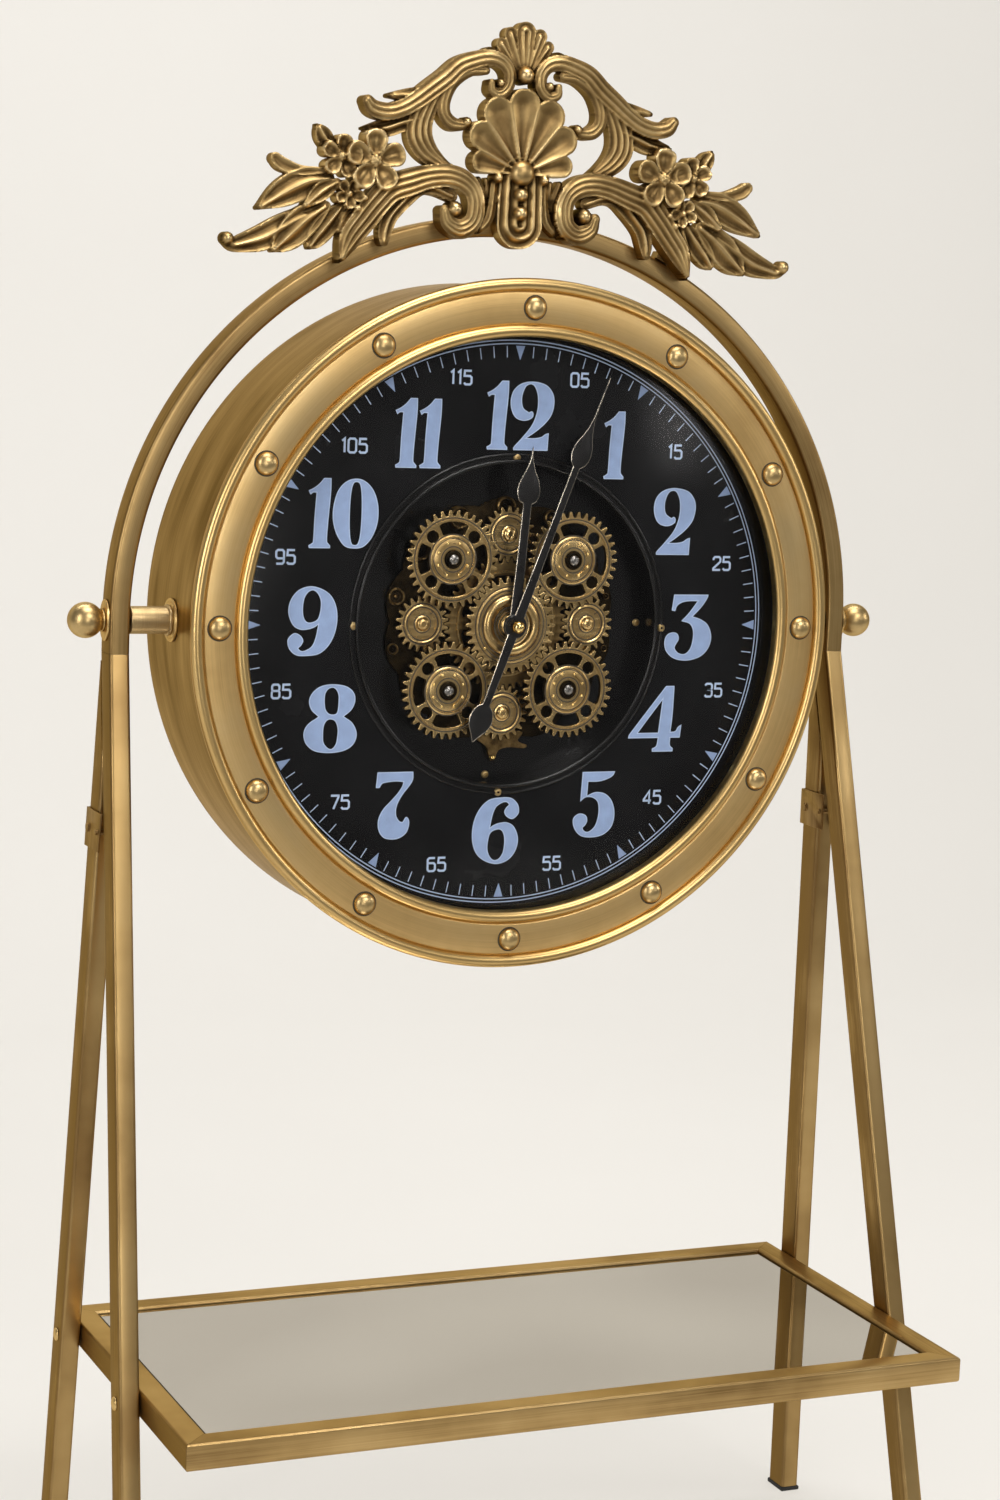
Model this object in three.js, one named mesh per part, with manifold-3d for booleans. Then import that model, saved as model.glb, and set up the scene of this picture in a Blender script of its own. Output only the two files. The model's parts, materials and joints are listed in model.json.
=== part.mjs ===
// Floor-standing gear clock: an arched tube stand with a mirrored shelf and a cast crown, and a drum
// that tilts on two pivots and holds dial, turning gears, movement and hands.
// Millimetres, +Z up, the dial faces -Y. Pieces are laid out around the pivot axis, and the finished
// clock is moved down at the end so that it stands on z = 0 with its footprint centred.
import * as THREE from "three";
import { mergeVertices } from "three/addons/utils/BufferGeometryUtils.js";
import Module from "manifold-3d";

const wasm = await Module();
wasm.setup();

// Clearances
const seatGap = 0.3; // between two pieces that rest face to face
const boreGap = 0.4; // around a shaft in its bore, on the radius

// Drum
const drumRadius = 300;
const drumFront = 64; // drum shell's front edge, ahead of the pivot axis
const drumBack = 75; // drum's rear edge, behind the pivot axis
const shellWall = 1.5;
const backLip = 10;
const ledgeWidth = 48; // ring inside the shell that carries the dial
const ledgeThickness = 1.5;

// Bezel, glass and dial
const beadWidth = 11;
const beadOverhang = 5; // outer bead past the drum's side
const bandWidth = 29;
const bandSink = 4.5; // band behind the crest of the beads
const bezelThickness = 3;
const skirtLength = 13;
const rivetCount = 12;
const rivetRadius = 10;
const rivetHeight = 7;
const glassThickness = 3;
const glassRise = 19;
const glassLap = 8; // glass edge behind the inner bead
const dialDepth = 22; // dial plane behind the bezel's back
const dialThickness = 1.5;
const dialRimWall = 2;

// Gear well and back
const wellRadius = 143;
const wellDepth = 24;
const wellWall = 1.2;
const wellFlange = 6;
const coverThickness = 1.5;
const hatchWidth = 120;
const hatchHeight = 100;
const doorLap = 8;
const doorThickness = 1.5;
const knuckleRadius = 2.6;
const pinRadius = 1.2;
const earThickness = 4;
const pullRadius = 6;
const pullHeight = 6;

// Gears: numbers of teeth, distances from the centre, thickness and planes
const wheelTeeth = 34; // centre wheel and each corner gear
const ringTeeth = 50;
const smallTeeth = 20;
const cornerReach = 82.3; // centre wheel's axis to a corner gear's axis
const smallReach = 80;
const gearThickness = 5;
const gearPlaneGap = 7; // clear space between the rear and the front gears
const plateRadius = 106;
const plateScallop = 6;
const plateScallops = 14;
const plateThickness = 3;
const plateToGears = 7.5;
const studRadius = 4;
const studCollar = 2.4;
const studHeadRadius = 7.5;
const studHeadHeight = 4.5;
const smallPostRadius = 2.4;
const capRadius = 6;
const capHeight = 4;

// Movement and hands
const centreTubeWall = 1;
const arborRadius = 2;
const pipeWall = 0.9;
const caseSide = 78;
const caseDepth = 22;
const caseWall = 2;
const motorRadius = 12;
const motorLength = 22;
const batteryRadius = 7.2;
const batteryLength = 50.5;
const setWheelRadius = 9;
const setWheelThickness = 5;
const handThickness = 1.5;
const handSpacing = 2;
const hubRadius = 10.5;
const hourLength = 160;
const minuteLength = 238;
const minuteTail = 110;
const nutRadius = 5.6;
const hourAngle = 4; // degrees clockwise from twelve, as stored
const minuteAngle = 20.2;

// Stand
const pivotHeight = 880;
const tubeWidth = 18;
const tubeDepth = 28;
const tubeWall = 1.5;
const drumToArch = 40.5;
const archDrop = 28; // straight tube below the pivots
const frontSlope = 0.247; // forward lean of a front leg for each mm of height
const rearSlope = 0.052;
const mitreTip = 8; // cut off the thin top of a rear leg
const clipDrop = 182; // middle of the leg clip below the pivots
const clipHeight = 34;
const clipThickness = 1.5;
const clipPinRadius = 2.5;
const clipPinReach = 2; // pin end past the cheek
const clipScrewRadius = 4;
const clipScrewHeight = 1.8;
const footHeight = 4;
const footLap = 1;
const footPlug = 12;

// Shelf
const shelfHeight = 248; // top of the shelf frame above the floor
const shelfHalfWidth = 361;
const shelfFront = 290;
const shelfBack = 72;
const railSize = 23;
const mirrorThickness = 4;
const mirrorSink = 3;
const mirrorLedge = 9;
const shelfBoltRadius = 3;
const shelfBoltHead = 6;
const shelfBoltRise = 2.6;

// Pivots
const boltRadius = 5;
const boltHeadRadius = 9;
const boltHeadHeight = 5;
const flangeRadius = 19;
const flangeThickness = 2;
const sleeveRadius = 12;
const escutcheonHalfHeight = 18;
const escutcheonHalfWidth = 12.5;
const escutcheonThickness = 2.5;
const knobRadius = 15.5;
const knobNeckRadius = 8.5;
const knobNeckLength = 3;
const knobGrip = 12; // length of bolt inside a knob

// Crown: heights are measured up from the top of the arch, positions out from the middle
const crownThickness = 24;
const crownTabs = [9, 24.5];
const crownTabWidth = 14;
const crownTabHeight = 7;
const shellLobes = [[0, 73], [26, 69], [52, 60], [77, 46]]; // degrees from upright, reach
const shellCentre = 36;
const shellHalfFoot = 14;
const shellFoot = 28;
const shellHeight = 15;
const tongueHalfWidth = 21;
const tongueTop = 34;
const tongueBottom = -7; // middle of its round end
const tongueHeight = 16;
const fanFoot = 104;
const fanHalfFoot = 7;
const fanTop = 148;
const fanRadius = 12;
const fanHeight = 14;

const roundSides = 40; // facets round the drum
const shaftSides = 14;
const boltSides = 10;
const archFacets = 32; // facets of each curved face of the arch

// Values that follow from the ones above
const bezelOuter = drumRadius + beadOverhang;
const openingRadius = bezelOuter - 2 * beadWidth - bandWidth;
const glassRadius = openingRadius + glassLap;
const glassSphere = (glassRadius ** 2 + glassRise ** 2) / (2 * glassRise);
const glassEdgeRise = glassRise - openingRadius ** 2 / (2 * glassSphere);
const glassFront = -(drumFront - glassEdgeRise - 1.3 * seatGap);
const dialFront = -(drumFront - dialDepth);
const dialBack = dialFront + dialThickness;
const ledgeFront = dialBack + seatGap;
const wellFloorFront = dialFront + wellDepth;
const wellFloorBack = wellFloorFront + wellWall;
const plateBack = wellFloorFront - seatGap;
const plateFront = plateBack - plateThickness;
const rearGearBack = plateFront - plateToGears;
const rearGearFront = rearGearBack - gearThickness;
const frontGearBack = rearGearFront - gearPlaneGap;
const frontGearFront = frontGearBack - gearThickness;
const arborHole = arborRadius + boreGap;
const pipeRadius = arborHole + pipeWall;
const tubeBore = pipeRadius + boreGap;
const centreTubeRadius = tubeBore + centreTubeWall;
const wheelBore = centreTubeRadius + boreGap;
const studFront = frontGearFront - seatGap - studHeadHeight;
const hourBack = studFront - handSpacing;
const hourFront = hourBack - handThickness;
const minuteBack = hourFront - handSpacing;
const minuteFront = minuteBack - handThickness;
const caseFront = wellFloorBack + seatGap;
const caseBack = caseFront + caseDepth;
const coverBack = drumBack - shellWall - seatGap;
const coverFront = coverBack - coverThickness;

const archInner = drumRadius + drumToArch;
const archMiddle = archInner + tubeWidth / 2;
const archOuter = archInner + tubeWidth;
const floorLevel = -pivotHeight;
const shelfTop = floorLevel + shelfHeight;
const legTop = -archDrop - seatGap;
const legFoot = floorLevel + footHeight + seatGap;
const splay = (shelfHalfWidth + seatGap - archInner) / (legTop - shelfTop);
const crownBack = -tubeDepth / 2 - seatGap;
const boltHole = boltRadius + boreGap;
const quarterTurn = Math.PI / 2;

// Solids and meshes

function closedSolid(vertProperties, triVerts) {
  const made = new wasm.Manifold(new wasm.Mesh({ numProp: 3, vertProperties, triVerts }));
  if (made.volume() >= 0) return made;
  const turned = new Uint32Array(triVerts.length);
  for (let i = 0; i < triVerts.length; i += 3) {
    turned.set([triVerts[i], triVerts[i + 2], triVerts[i + 1]], i);
  }
  return new wasm.Manifold(new wasm.Mesh({ numProp: 3, vertProperties, triVerts: turned }));
}

function solidOf(geometry) {
  const bare = geometry.index ? geometry.toNonIndexed() : geometry.clone();
  bare.deleteAttribute("normal");
  bare.deleteAttribute("uv");
  const merged = mergeVertices(bare, 1e-4);
  const corners = merged.index.array;
  const kept = [];
  for (let i = 0; i < corners.length; i += 3) {
    const [a, b, c] = [corners[i], corners[i + 1], corners[i + 2]];
    if (a !== b && b !== c && c !== a) kept.push(a, b, c);
  }
  return closedSolid(new Float32Array(merged.attributes.position.array), new Uint32Array(kept));
}

function geometryOf(solid) {
  const mesh = solid.getMesh();
  const positions = new Float32Array(mesh.numVert * 3);
  for (let i = 0; i < mesh.numVert; i += 1) {
    positions.set(mesh.vertProperties.subarray(i * mesh.numProp, i * mesh.numProp + 3), i * 3);
  }
  const indexed = new THREE.BufferGeometry();
  indexed.setAttribute("position", new THREE.BufferAttribute(positions, 3));
  indexed.setIndex(new THREE.BufferAttribute(mesh.triVerts, 1));
  const flat = indexed.toNonIndexed();
  flat.computeVertexNormals();
  return flat;
}

function joined(first, ...others) {
  return others.reduce((sum, solid) => sum.add(solid), first);
}

function cut(blank, ...tools) {
  return tools.reduce((rest, tool) => rest.subtract(tool), blank);
}

function box(width, depth, height, x, y, z) {
  return solidOf(new THREE.BoxGeometry(width, depth, height).translate(x, y, z));
}

// A turned piece around an axis along Y: its profile is a list of [radius, y].
function turned(profile, sides = roundSides) {
  const points = profile.map(([radius, y]) => new THREE.Vector2(radius, y));
  const ends = [points[0], points[points.length - 1]];
  if (!ends.every((point) => point.x === 0)) points.push(points[0].clone());
  return solidOf(new THREE.LatheGeometry(points, sides));
}

function ring(inner, outer, front, back, sides = roundSides) {
  return turned([[inner, front], [outer, front], [outer, back], [inner, back]], sides);
}

function disc(radius, front, back, sides = shaftSides) {
  return turned([[0, front], [radius, front], [radius, back], [0, back]], sides);
}

// The same along X, for the pivots: its profile is a list of [radius, x].
function turnedAlongX(profile, sides = shaftSides) {
  const points = profile.map(([radius, x]) => new THREE.Vector2(radius, x));
  if (points[0].x !== 0) points.push(points[0].clone());
  return solidOf(new THREE.LatheGeometry(points, sides).rotateZ(-quarterTurn));
}

function rodAlongX(radius, from, to, sides = shaftSides) {
  return turnedAlongX([[0, from], [radius, from], [radius, to], [0, to]], sides);
}

// A flat piece cut from a plate that faces -Y: the shape's x and y become X and Z.
function plate(shape, front, back, curveSegments = 8) {
  const settings = { depth: back - front, bevelEnabled: false, curveSegments };
  const geometry = new THREE.ExtrudeGeometry(shape, settings);
  return solidOf(geometry.rotateX(quarterTurn).translate(0, back, 0));
}

function circle(radius, x = 0, y = 0, sides = 8) {
  const points = [];
  for (let i = 0; i < sides; i += 1) {
    const angle = (-2 * Math.PI * (i + 0.5)) / sides;
    points.push(new THREE.Vector2(x + radius * Math.cos(angle), y + radius * Math.sin(angle)));
  }
  return new THREE.Path(points);
}

function rectangle(width, height, x = 0, y = 0) {
  const shape = new THREE.Shape();
  shape.moveTo(x - width / 2, y - height / 2);
  shape.lineTo(x + width / 2, y - height / 2);
  shape.lineTo(x + width / 2, y + height / 2);
  shape.lineTo(x - width / 2, y + height / 2);
  shape.closePath();
  return shape;
}

function mirroredX(solid) {
  const mesh = solid.getMesh();
  const points = mesh.vertProperties.slice();
  for (let i = 0; i < points.length; i += mesh.numProp) points[i] = -points[i];
  return closedSolid(points, mesh.triVerts);
}

function finish(color, roughness, metalness) {
  return new THREE.MeshStandardMaterial({ color, roughness, metalness });
}

const brass = finish(0xa9854a, 0.38, 0.9);
const crownBrass = finish(0x94723c, 0.45, 0.9);
const gearBrass = finish(0xa88a4c, 0.35, 0.9);
const darkBronze = finish(0x5a4426, 0.5, 0.9);
const steel = finish(0x8f8f8c, 0.3, 1);
const black = finish(0x101010, 0.45, 0.2);
const backSteel = finish(0x3a3632, 0.55, 0.6);
const plastic = finish(0x1d1d1d, 0.6, 0);
const glass = new THREE.MeshStandardMaterial({
  color: 0xe8f0f0,
  roughness: 0.05,
  transparent: true,
  opacity: 0.15,
});
const mirror = finish(0xc9c6bd, 0.05, 1);

const clock = new THREE.Group();
const stand = new THREE.Group();
const drum = new THREE.Group();
clock.add(stand, drum);

function addPart(group, name, solid, material, x = 0, y = 0, z = 0) {
  const mesh = new THREE.Mesh(geometryOf(solid), material);
  mesh.name = name;
  mesh.position.set(x, y, z);
  group.add(mesh);
  return mesh;
}

// Stand

function archOutline(inner, outer, drop) {
  const shape = new THREE.Shape();
  shape.moveTo(-outer, -drop);
  shape.lineTo(-outer, 0);
  shape.absarc(0, 0, outer, Math.PI, 0, true);
  shape.lineTo(outer, -drop);
  shape.lineTo(inner, -drop);
  shape.lineTo(inner, 0);
  shape.absarc(0, 0, inner, 0, Math.PI, false);
  shape.lineTo(-inner, -drop);
  shape.closePath();
  return shape;
}

function archTube() {
  const half = tubeDepth / 2;
  const outside = plate(archOutline(archInner, archOuter, archDrop), -half, half, archFacets / 2);
  const hollowOutline = archOutline(archInner + tubeWall, archOuter - tubeWall, archDrop + 1);
  const hollowHalf = half - tubeWall;
  const hollow = plate(hollowOutline, -hollowHalf, hollowHalf, archFacets / 2);
  return cut(outside, hollow, rodAlongX(boltHole, -archOuter - 1, archOuter + 1));
}

// A leg's blank: a bar of the given section that leans by slope along Y and by splay along X.
function leaning(shape, top, bottom, side, slope) {
  const settings = { depth: top - bottom, bevelEnabled: false, curveSegments: 8 };
  const bar = new THREE.ExtrudeGeometry(shape, settings).translate(0, 0, bottom - legTop);
  const lean = new THREE.Matrix4().makeShear(0, 0, 0, 0, -side * splay, slope);
  return solidOf(bar.applyMatrix4(lean).translate(side * archMiddle, 0, legTop));
}

function legBar(side, slope) {
  return leaning(rectangle(tubeWidth, tubeDepth), legTop, legFoot, side, slope);
}

function legTube(side, slope) {
  const bore = rectangle(tubeWidth - 2 * tubeWall, tubeDepth - 2 * tubeWall);
  const hollow = leaning(bore, legTop + 1, legFoot - 1, side, slope);
  return cut(legBar(side, slope), hollow);
}

// Where a leg's middle line is at a height.
function legPlace(side, slope, z) {
  const drop = legTop - z;
  return [side * (archMiddle + splay * drop), -slope * drop];
}

function shelfBoltSpot(side, slope) {
  const z = shelfTop - railSize / 2;
  const [x, y] = legPlace(side, slope, z);
  return { x, y, z };
}

function shelfBoltHoleThrough(side, slope) {
  const { x, y, z } = shelfBoltSpot(side, slope);
  const reach = tubeWidth;
  const hole = rodAlongX(shelfBoltRadius + boreGap, x - reach, x + reach, 8);
  return hole.translate([0, y, z]);
}

function frontLeg(side) {
  return cut(legTube(side, frontSlope), shelfBoltHoleThrough(side, frontSlope));
}

// A rear leg is mitred against the back of its front leg, and the mitre's thin tip is taken off.
function rearLeg(side) {
  const room = rectangle(2 * tubeWidth, tubeDepth + 2 * seatGap);
  const frontLegRoom = leaning(room, legTop + 1, legFoot - 1, side, frontSlope);
  const tip = box(4 * tubeWidth, 4 * tubeDepth, 2 * mitreTip, side * archMiddle, 0, legTop);
  const hole = shelfBoltHoleThrough(side, -rearSlope);
  return cut(legTube(side, -rearSlope), frontLegRoom, tip, hole);
}

// A folded plate round the rear leg that reaches forward to the front leg, with a cross pin
// between its cheeks and a screw head on each cheek.
function legClip(side) {
  const top = -clipDrop + clipHeight / 2;
  const bottom = top - clipHeight;
  const innerHalf = tubeWidth / 2 + seatGap;
  const outerHalf = innerHalf + clipThickness;
  const legRear = tubeDepth / 2;
  const frontReach = legTop - top;
  const legGap = (frontSlope + rearSlope) * frontReach - tubeDepth;
  const cheekFront = -legRear - legGap + seatGap;
  const cheekBack = legRear + seatGap + clipThickness;
  const outline = new THREE.Shape();
  outline.moveTo(-outerHalf, cheekFront);
  outline.lineTo(-innerHalf, cheekFront);
  outline.lineTo(-innerHalf, legRear + seatGap);
  outline.lineTo(innerHalf, legRear + seatGap);
  outline.lineTo(innerHalf, cheekFront);
  outline.lineTo(outerHalf, cheekFront);
  outline.lineTo(outerHalf, cheekBack);
  outline.lineTo(-outerHalf, cheekBack);
  outline.closePath();
  const folded = leaning(outline, top, bottom, side, -rearSlope);
  const [x, y] = legPlace(side, -rearSlope, -clipDrop);
  const pinY = y - legRear - legGap / 2;
  const pinHalf = outerHalf + clipPinReach;
  const pin = rodAlongX(clipPinRadius, x - pinHalf, x + pinHalf, boltSides);
  const heads = [-1, 1].map((face) => {
    const from = x + face * (outerHalf - clipThickness / 2);
    const to = x + face * (outerHalf + clipScrewHeight);
    const head = rodAlongX(clipScrewRadius, Math.min(from, to), Math.max(from, to), boltSides);
    return head.translate([0, y + legRear / 2, -clipDrop]);
  });
  return joined(folded, pin.translate([0, pinY, -clipDrop]), ...heads);
}

function footCap(side, slope) {
  const [x, y] = legPlace(side, slope, legFoot);
  const padMiddle = floorLevel + footHeight / 2;
  const pad = box(tubeWidth + 2 * footLap, tubeDepth + 2 * footLap, footHeight, x, y, padMiddle);
  const inset = 2 * (tubeWall + seatGap);
  const plugShape = rectangle(tubeWidth - inset, tubeDepth - inset);
  return joined(pad, leaning(plugShape, legFoot + footPlug, padMiddle, side, slope));
}

// Shelf rails run along the frame's edge and are cut at 45 degrees in the corners.
function railBlank(length, end) {
  const shape = new THREE.Shape();
  const half = length / 2;
  shape.moveTo(-half + end, 0);
  shape.lineTo(half - end, 0);
  shape.lineTo(half - railSize - end, railSize);
  shape.lineTo(-half + railSize + end, railSize);
  shape.closePath();
  const settings = { depth: railSize, bevelEnabled: false };
  const outside = solidOf(new THREE.ExtrudeGeometry(shape, settings));
  const boreSize = railSize - 2 * tubeWall;
  return cut(outside, box(length, boreSize, boreSize, 0, railSize / 2, railSize / 2));
}

function shelfRail(length, turn, x, y) {
  const ledgeTop = railSize - mirrorSink - mirrorThickness - seatGap;
  const ledgeLength = length - 2 * railSize - 2 * mirrorLedge - 2 * seatGap;
  const ledgeDepth = mirrorLedge + tubeWall / 2;
  const ledgeY = railSize + mirrorLedge - ledgeDepth / 2;
  const ledge = box(ledgeLength, ledgeDepth, tubeWall, 0, ledgeY, ledgeTop - tubeWall / 2);
  const rail = joined(railBlank(length, seatGap / 2), ledge);
  return rail.rotate([0, 0, turn]).translate([x, y, shelfTop - railSize]);
}

function sideRail(side) {
  const length = shelfFront + shelfBack;
  const middle = (shelfBack - shelfFront) / 2;
  const rail = shelfRail(length, side * 90, side * shelfHalfWidth, middle);
  const holes = [frontSlope, -rearSlope].map((slope) => {
    const { y, z } = shelfBoltSpot(side, slope);
    const outer = side * (shelfHalfWidth + 1);
    const inner = side * (shelfHalfWidth - tubeWall - 1);
    const hole = rodAlongX(shelfBoltRadius + boreGap, Math.min(outer, inner), Math.max(outer, inner), 8);
    return hole.translate([0, y, z]);
  });
  return cut(rail, ...holes);
}

function shelfMirror() {
  const gap = railSize + 2 * seatGap;
  const width = 2 * (shelfHalfWidth - gap);
  const depth = shelfFront + shelfBack - 2 * gap;
  const top = shelfTop - mirrorSink;
  return box(width, depth, mirrorThickness, 0, (shelfBack - shelfFront) / 2, top - mirrorThickness / 2);
}

// A screw from outside through the leg into the shelf's side rail.
function shelfBolt(side, slope) {
  const { x, y, z } = shelfBoltSpot(side, slope);
  const faceX = Math.abs(x) + tubeWidth / 2 + seatGap;
  const tipX = shelfHalfWidth - railSize / 2;
  const profile = [
    [0, side * tipX],
    [shelfBoltRadius, side * tipX],
    [shelfBoltRadius, side * faceX],
    [shelfBoltHead, side * faceX],
    [shelfBoltHead * 0.8, side * (faceX + shelfBoltRise * 0.7)],
    [0, side * (faceX + shelfBoltRise)],
  ];
  return turnedAlongX(profile, boltSides).translate([0, y, z]);
}

// Crown: raised stems and leaves with a rounded front and a flat back.
// A stem follows a path of [out from the middle, up from the arch's top].
function stem({ path, widths, height, steps }) {
  const points = path.map(([x, z]) => new THREE.Vector3(x, 0, archOuter + z));
  const curve = new THREE.CatmullRomCurve3(points);
  const section = [[-1, 0], [-0.75, 0.65], [0, 1], [0.75, 0.65], [1, 0]];
  const positions = [];
  const triangles = [];
  for (let i = 0; i <= steps; i += 1) {
    const t = i / steps;
    const place = curve.getPoint(t);
    const along = curve.getTangent(t);
    const spot = t * (widths.length - 1);
    const low = Math.min(Math.floor(spot), widths.length - 2);
    const halfWidth = THREE.MathUtils.lerp(widths[low], widths[low + 1], spot - low);
    for (const [across, out] of section) {
      const x = place.x - along.z * halfWidth * across;
      const z = place.z + along.x * halfWidth * across;
      positions.push(x, crownBack - height * out, z);
    }
  }
  const count = section.length;
  for (let i = 0; i < steps; i += 1) {
    for (let j = 0; j < count; j += 1) {
      const a = i * count + j;
      const b = i * count + ((j + 1) % count);
      triangles.push(a, b, a + count, b, b + count, a + count);
    }
  }
  const last = steps * count;
  for (let j = 1; j < count - 1; j += 1) {
    triangles.push(0, j + 1, j, last, last + j, last + j + 1);
  }
  return closedSolid(new Float32Array(positions), new Uint32Array(triangles));
}

function boss(x, z, halfWidth, halfHeight, out, sides = 8) {
  const ball = new THREE.SphereGeometry(1, sides, 4).scale(halfWidth, out, halfHeight);
  return solidOf(ball.translate(x, crownBack, archOuter + z));
}

const crownStems = [
  {
    path: [[-17, 121], [-34, 129], [-59, 128], [-82, 112], [-100, 95], [-121, 85], [-145, 88]],
    widths: [6, 9, 11, 11, 8, 5],
    height: 19,
    steps: 7,
  },
  { path: [[-100, 92], [-122, 76], [-145, 67]], widths: [8, 7, 2], height: 14, steps: 4 },
  {
    path: [[-30, 117], [-56, 119], [-74, 103], [-78, 84], [-68, 71], [-50, 71]],
    widths: [6, 7, 8, 8, 6],
    height: 17,
    steps: 5,
  },
  {
    path: [[-84, 90], [-97, 70], [-96, 51], [-82, 38], [-60, 33]],
    widths: [9, 11, 11, 7, 3],
    height: 15,
    steps: 4,
  },
  {
    path: [[-38, 12], [-50, 28], [-79, 34], [-106, 26], [-124, 5], [-142, -20], [-163, -44]],
    widths: [8, 10, 12, 14, 13, 11, 3],
    height: 18,
    steps: 7,
  },
  {
    path: [[-150, -4], [-191, -24], [-227, -41], [-257, -46], [-270, -38]],
    widths: [14, 15, 11, 6, 4],
    height: 14,
    steps: 4,
  },
  { path: [[-150, 14], [-198, 2], [-238, -6]], widths: [12, 15, 3], height: 13, steps: 4 },
  { path: [[-165, 22], [-202, 27], [-228, 35]], widths: [10, 12, 6], height: 13, steps: 4 },
  { path: [[-33, 27], [-37, 6], [-30, -15]], widths: [6, 8, 4], height: 13, steps: 3 },
  { path: [[-24, 27], [-25, 6], [-20, -14]], widths: [5, 7, 4], height: 12, steps: 3 },
  { path: [[-6, 118], [-15, 136], [-22, 148]], widths: [5, 8, 4], height: 12, steps: 3 },
  { path: [[-8, 116], [-24, 130], [-37, 139]], widths: [5, 7, 3], height: 10, steps: 3 },
];

// Bosses and beads: out from the middle, up from the arch, half width, half height, thickness.
const crownBosses = [
  [-25, 112, 12, 12, 21],
  [-52, 0, 16, 16, 21],
  [-136, 36, 26, 26, 20],
  [-167, 41, 18, 17, 17],
  [-157, 6, 14, 14, 16],
  [-188, 56, 9, 14, 12],
  [-21, 28, 4.5, 4.5, 20],
];
const crownBeads = [
  [0, 120, 8, 8, 22],
  [0, 36, 10.5, 10.5, crownThickness],
  [0, 16, 7, 7, 23],
  [0, 1, 7, 7, 23],
];

function shellOutline() {
  const rightLobes = shellLobes.slice(1);
  const leftLobes = rightLobes.map(([angle, reach]) => [-angle, reach]).reverse();
  const lobes = [...leftLobes, shellLobes[0], ...rightLobes];
  const level = archOuter + shellCentre;
  const halfWidth = lobes[0][1];
  const shape = new THREE.Shape();
  shape.moveTo(-shellHalfFoot, archOuter + shellFoot);
  shape.lineTo(-halfWidth, level - 2);
  lobes.forEach(([angle, reach], index) => {
    const turn = THREE.MathUtils.degToRad(angle);
    shape.lineTo(reach * Math.sin(turn), level + reach * Math.cos(turn));
    const next = lobes[index + 1];
    if (!next) return;
    const between = THREE.MathUtils.degToRad((angle + next[0]) / 2);
    const dip = Math.min(reach, next[1]) * 0.9;
    shape.lineTo(dip * Math.sin(between), level + dip * Math.cos(between));
  });
  shape.lineTo(halfWidth, level - 2);
  shape.lineTo(shellHalfFoot, archOuter + shellFoot);
  shape.closePath();
  return shape;
}

function tongueOutline() {
  const roundEnd = archOuter + tongueBottom;
  const shape = new THREE.Shape();
  shape.moveTo(-tongueHalfWidth, archOuter + tongueTop);
  shape.lineTo(-tongueHalfWidth, roundEnd);
  shape.absarc(0, roundEnd, tongueHalfWidth, Math.PI, 2 * Math.PI, false);
  shape.lineTo(tongueHalfWidth, archOuter + tongueTop);
  shape.closePath();
  return shape;
}

function fanOutline() {
  const roundEnd = archOuter + fanTop;
  const shape = new THREE.Shape();
  shape.moveTo(-fanHalfFoot, archOuter + fanFoot);
  shape.lineTo(-fanRadius, roundEnd);
  shape.absarc(0, roundEnd, fanRadius, Math.PI, 0, true);
  shape.lineTo(fanHalfFoot, archOuter + fanFoot);
  shape.closePath();
  return shape;
}

function crownOrnament() {
  const half = joined(
    ...crownStems.map(stem),
    ...crownBosses.map((values) => boss(...values)),
  );
  const shell = plate(shellOutline(), crownBack - shellHeight, crownBack);
  const tongue = plate(tongueOutline(), crownBack - tongueHeight, crownBack, 6);
  const fan = plate(fanOutline(), crownBack - fanHeight, crownBack, 6);
  const beads = crownBeads.map((values) => boss(...values));
  const whole = joined(half, mirroredX(half), shell, tongue, fan, ...beads);
  const behind = box(3 * archOuter, archOuter, 3 * archOuter, 0, crownBack + archOuter / 2, archOuter);
  return joined(cut(whole, behind), ...crownTabs.flatMap(crownTabPair));
}

// Lugs at the back of the crown that rest on top of the arch.
function crownTabPair(degrees) {
  return [-1, 1].map((side) => {
    const reach = archOuter + seatGap + crownTabHeight / 2;
    const depth = tubeDepth / 2;
    const lug = new THREE.BoxGeometry(crownTabWidth, depth, crownTabHeight);
    lug.translate(0, crownBack + depth / 2 - 1, reach);
    lug.rotateY(side * THREE.MathUtils.degToRad(degrees));
    return solidOf(lug);
  });
}

// Pivots

function pivotBolt(side) {
  const head = drumRadius - shellWall - 1 - boltHeadHeight;
  const seat = drumRadius - shellWall - 1;
  const tip = archOuter + escutcheonThickness + knobNeckLength + knobGrip;
  const profile = [[0, head], [boltHeadRadius, head], [boltHeadRadius, seat], [boltRadius, seat]];
  profile.push([boltRadius, tip], [0, tip]);
  return turnedAlongX(profile.map(([radius, x]) => [radius, side * x]));
}

function pivotFlange(side) {
  const inner = drumRadius + seatGap;
  const outer = inner + flangeThickness;
  const profile = [[boltHole, inner], [flangeRadius, inner], [flangeRadius, outer - 0.6]];
  profile.push([flangeRadius - 0.6, outer], [boltHole, outer]);
  return turnedAlongX(profile.map(([radius, x]) => [radius, side * x]), 18);
}

function pivotSleeve(side) {
  const inner = drumRadius + 2 * seatGap + flangeThickness;
  const archSag = sleeveRadius * Math.tan(Math.PI / archFacets / 2); // at the sleeve's rim
  const outer = archInner - seatGap - archSag;
  const profile = [[boltHole, inner], [sleeveRadius, inner], [sleeveRadius, outer], [boltHole, outer]];
  return turnedAlongX(profile.map(([radius, x]) => [radius, side * x]), 14);
}

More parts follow.
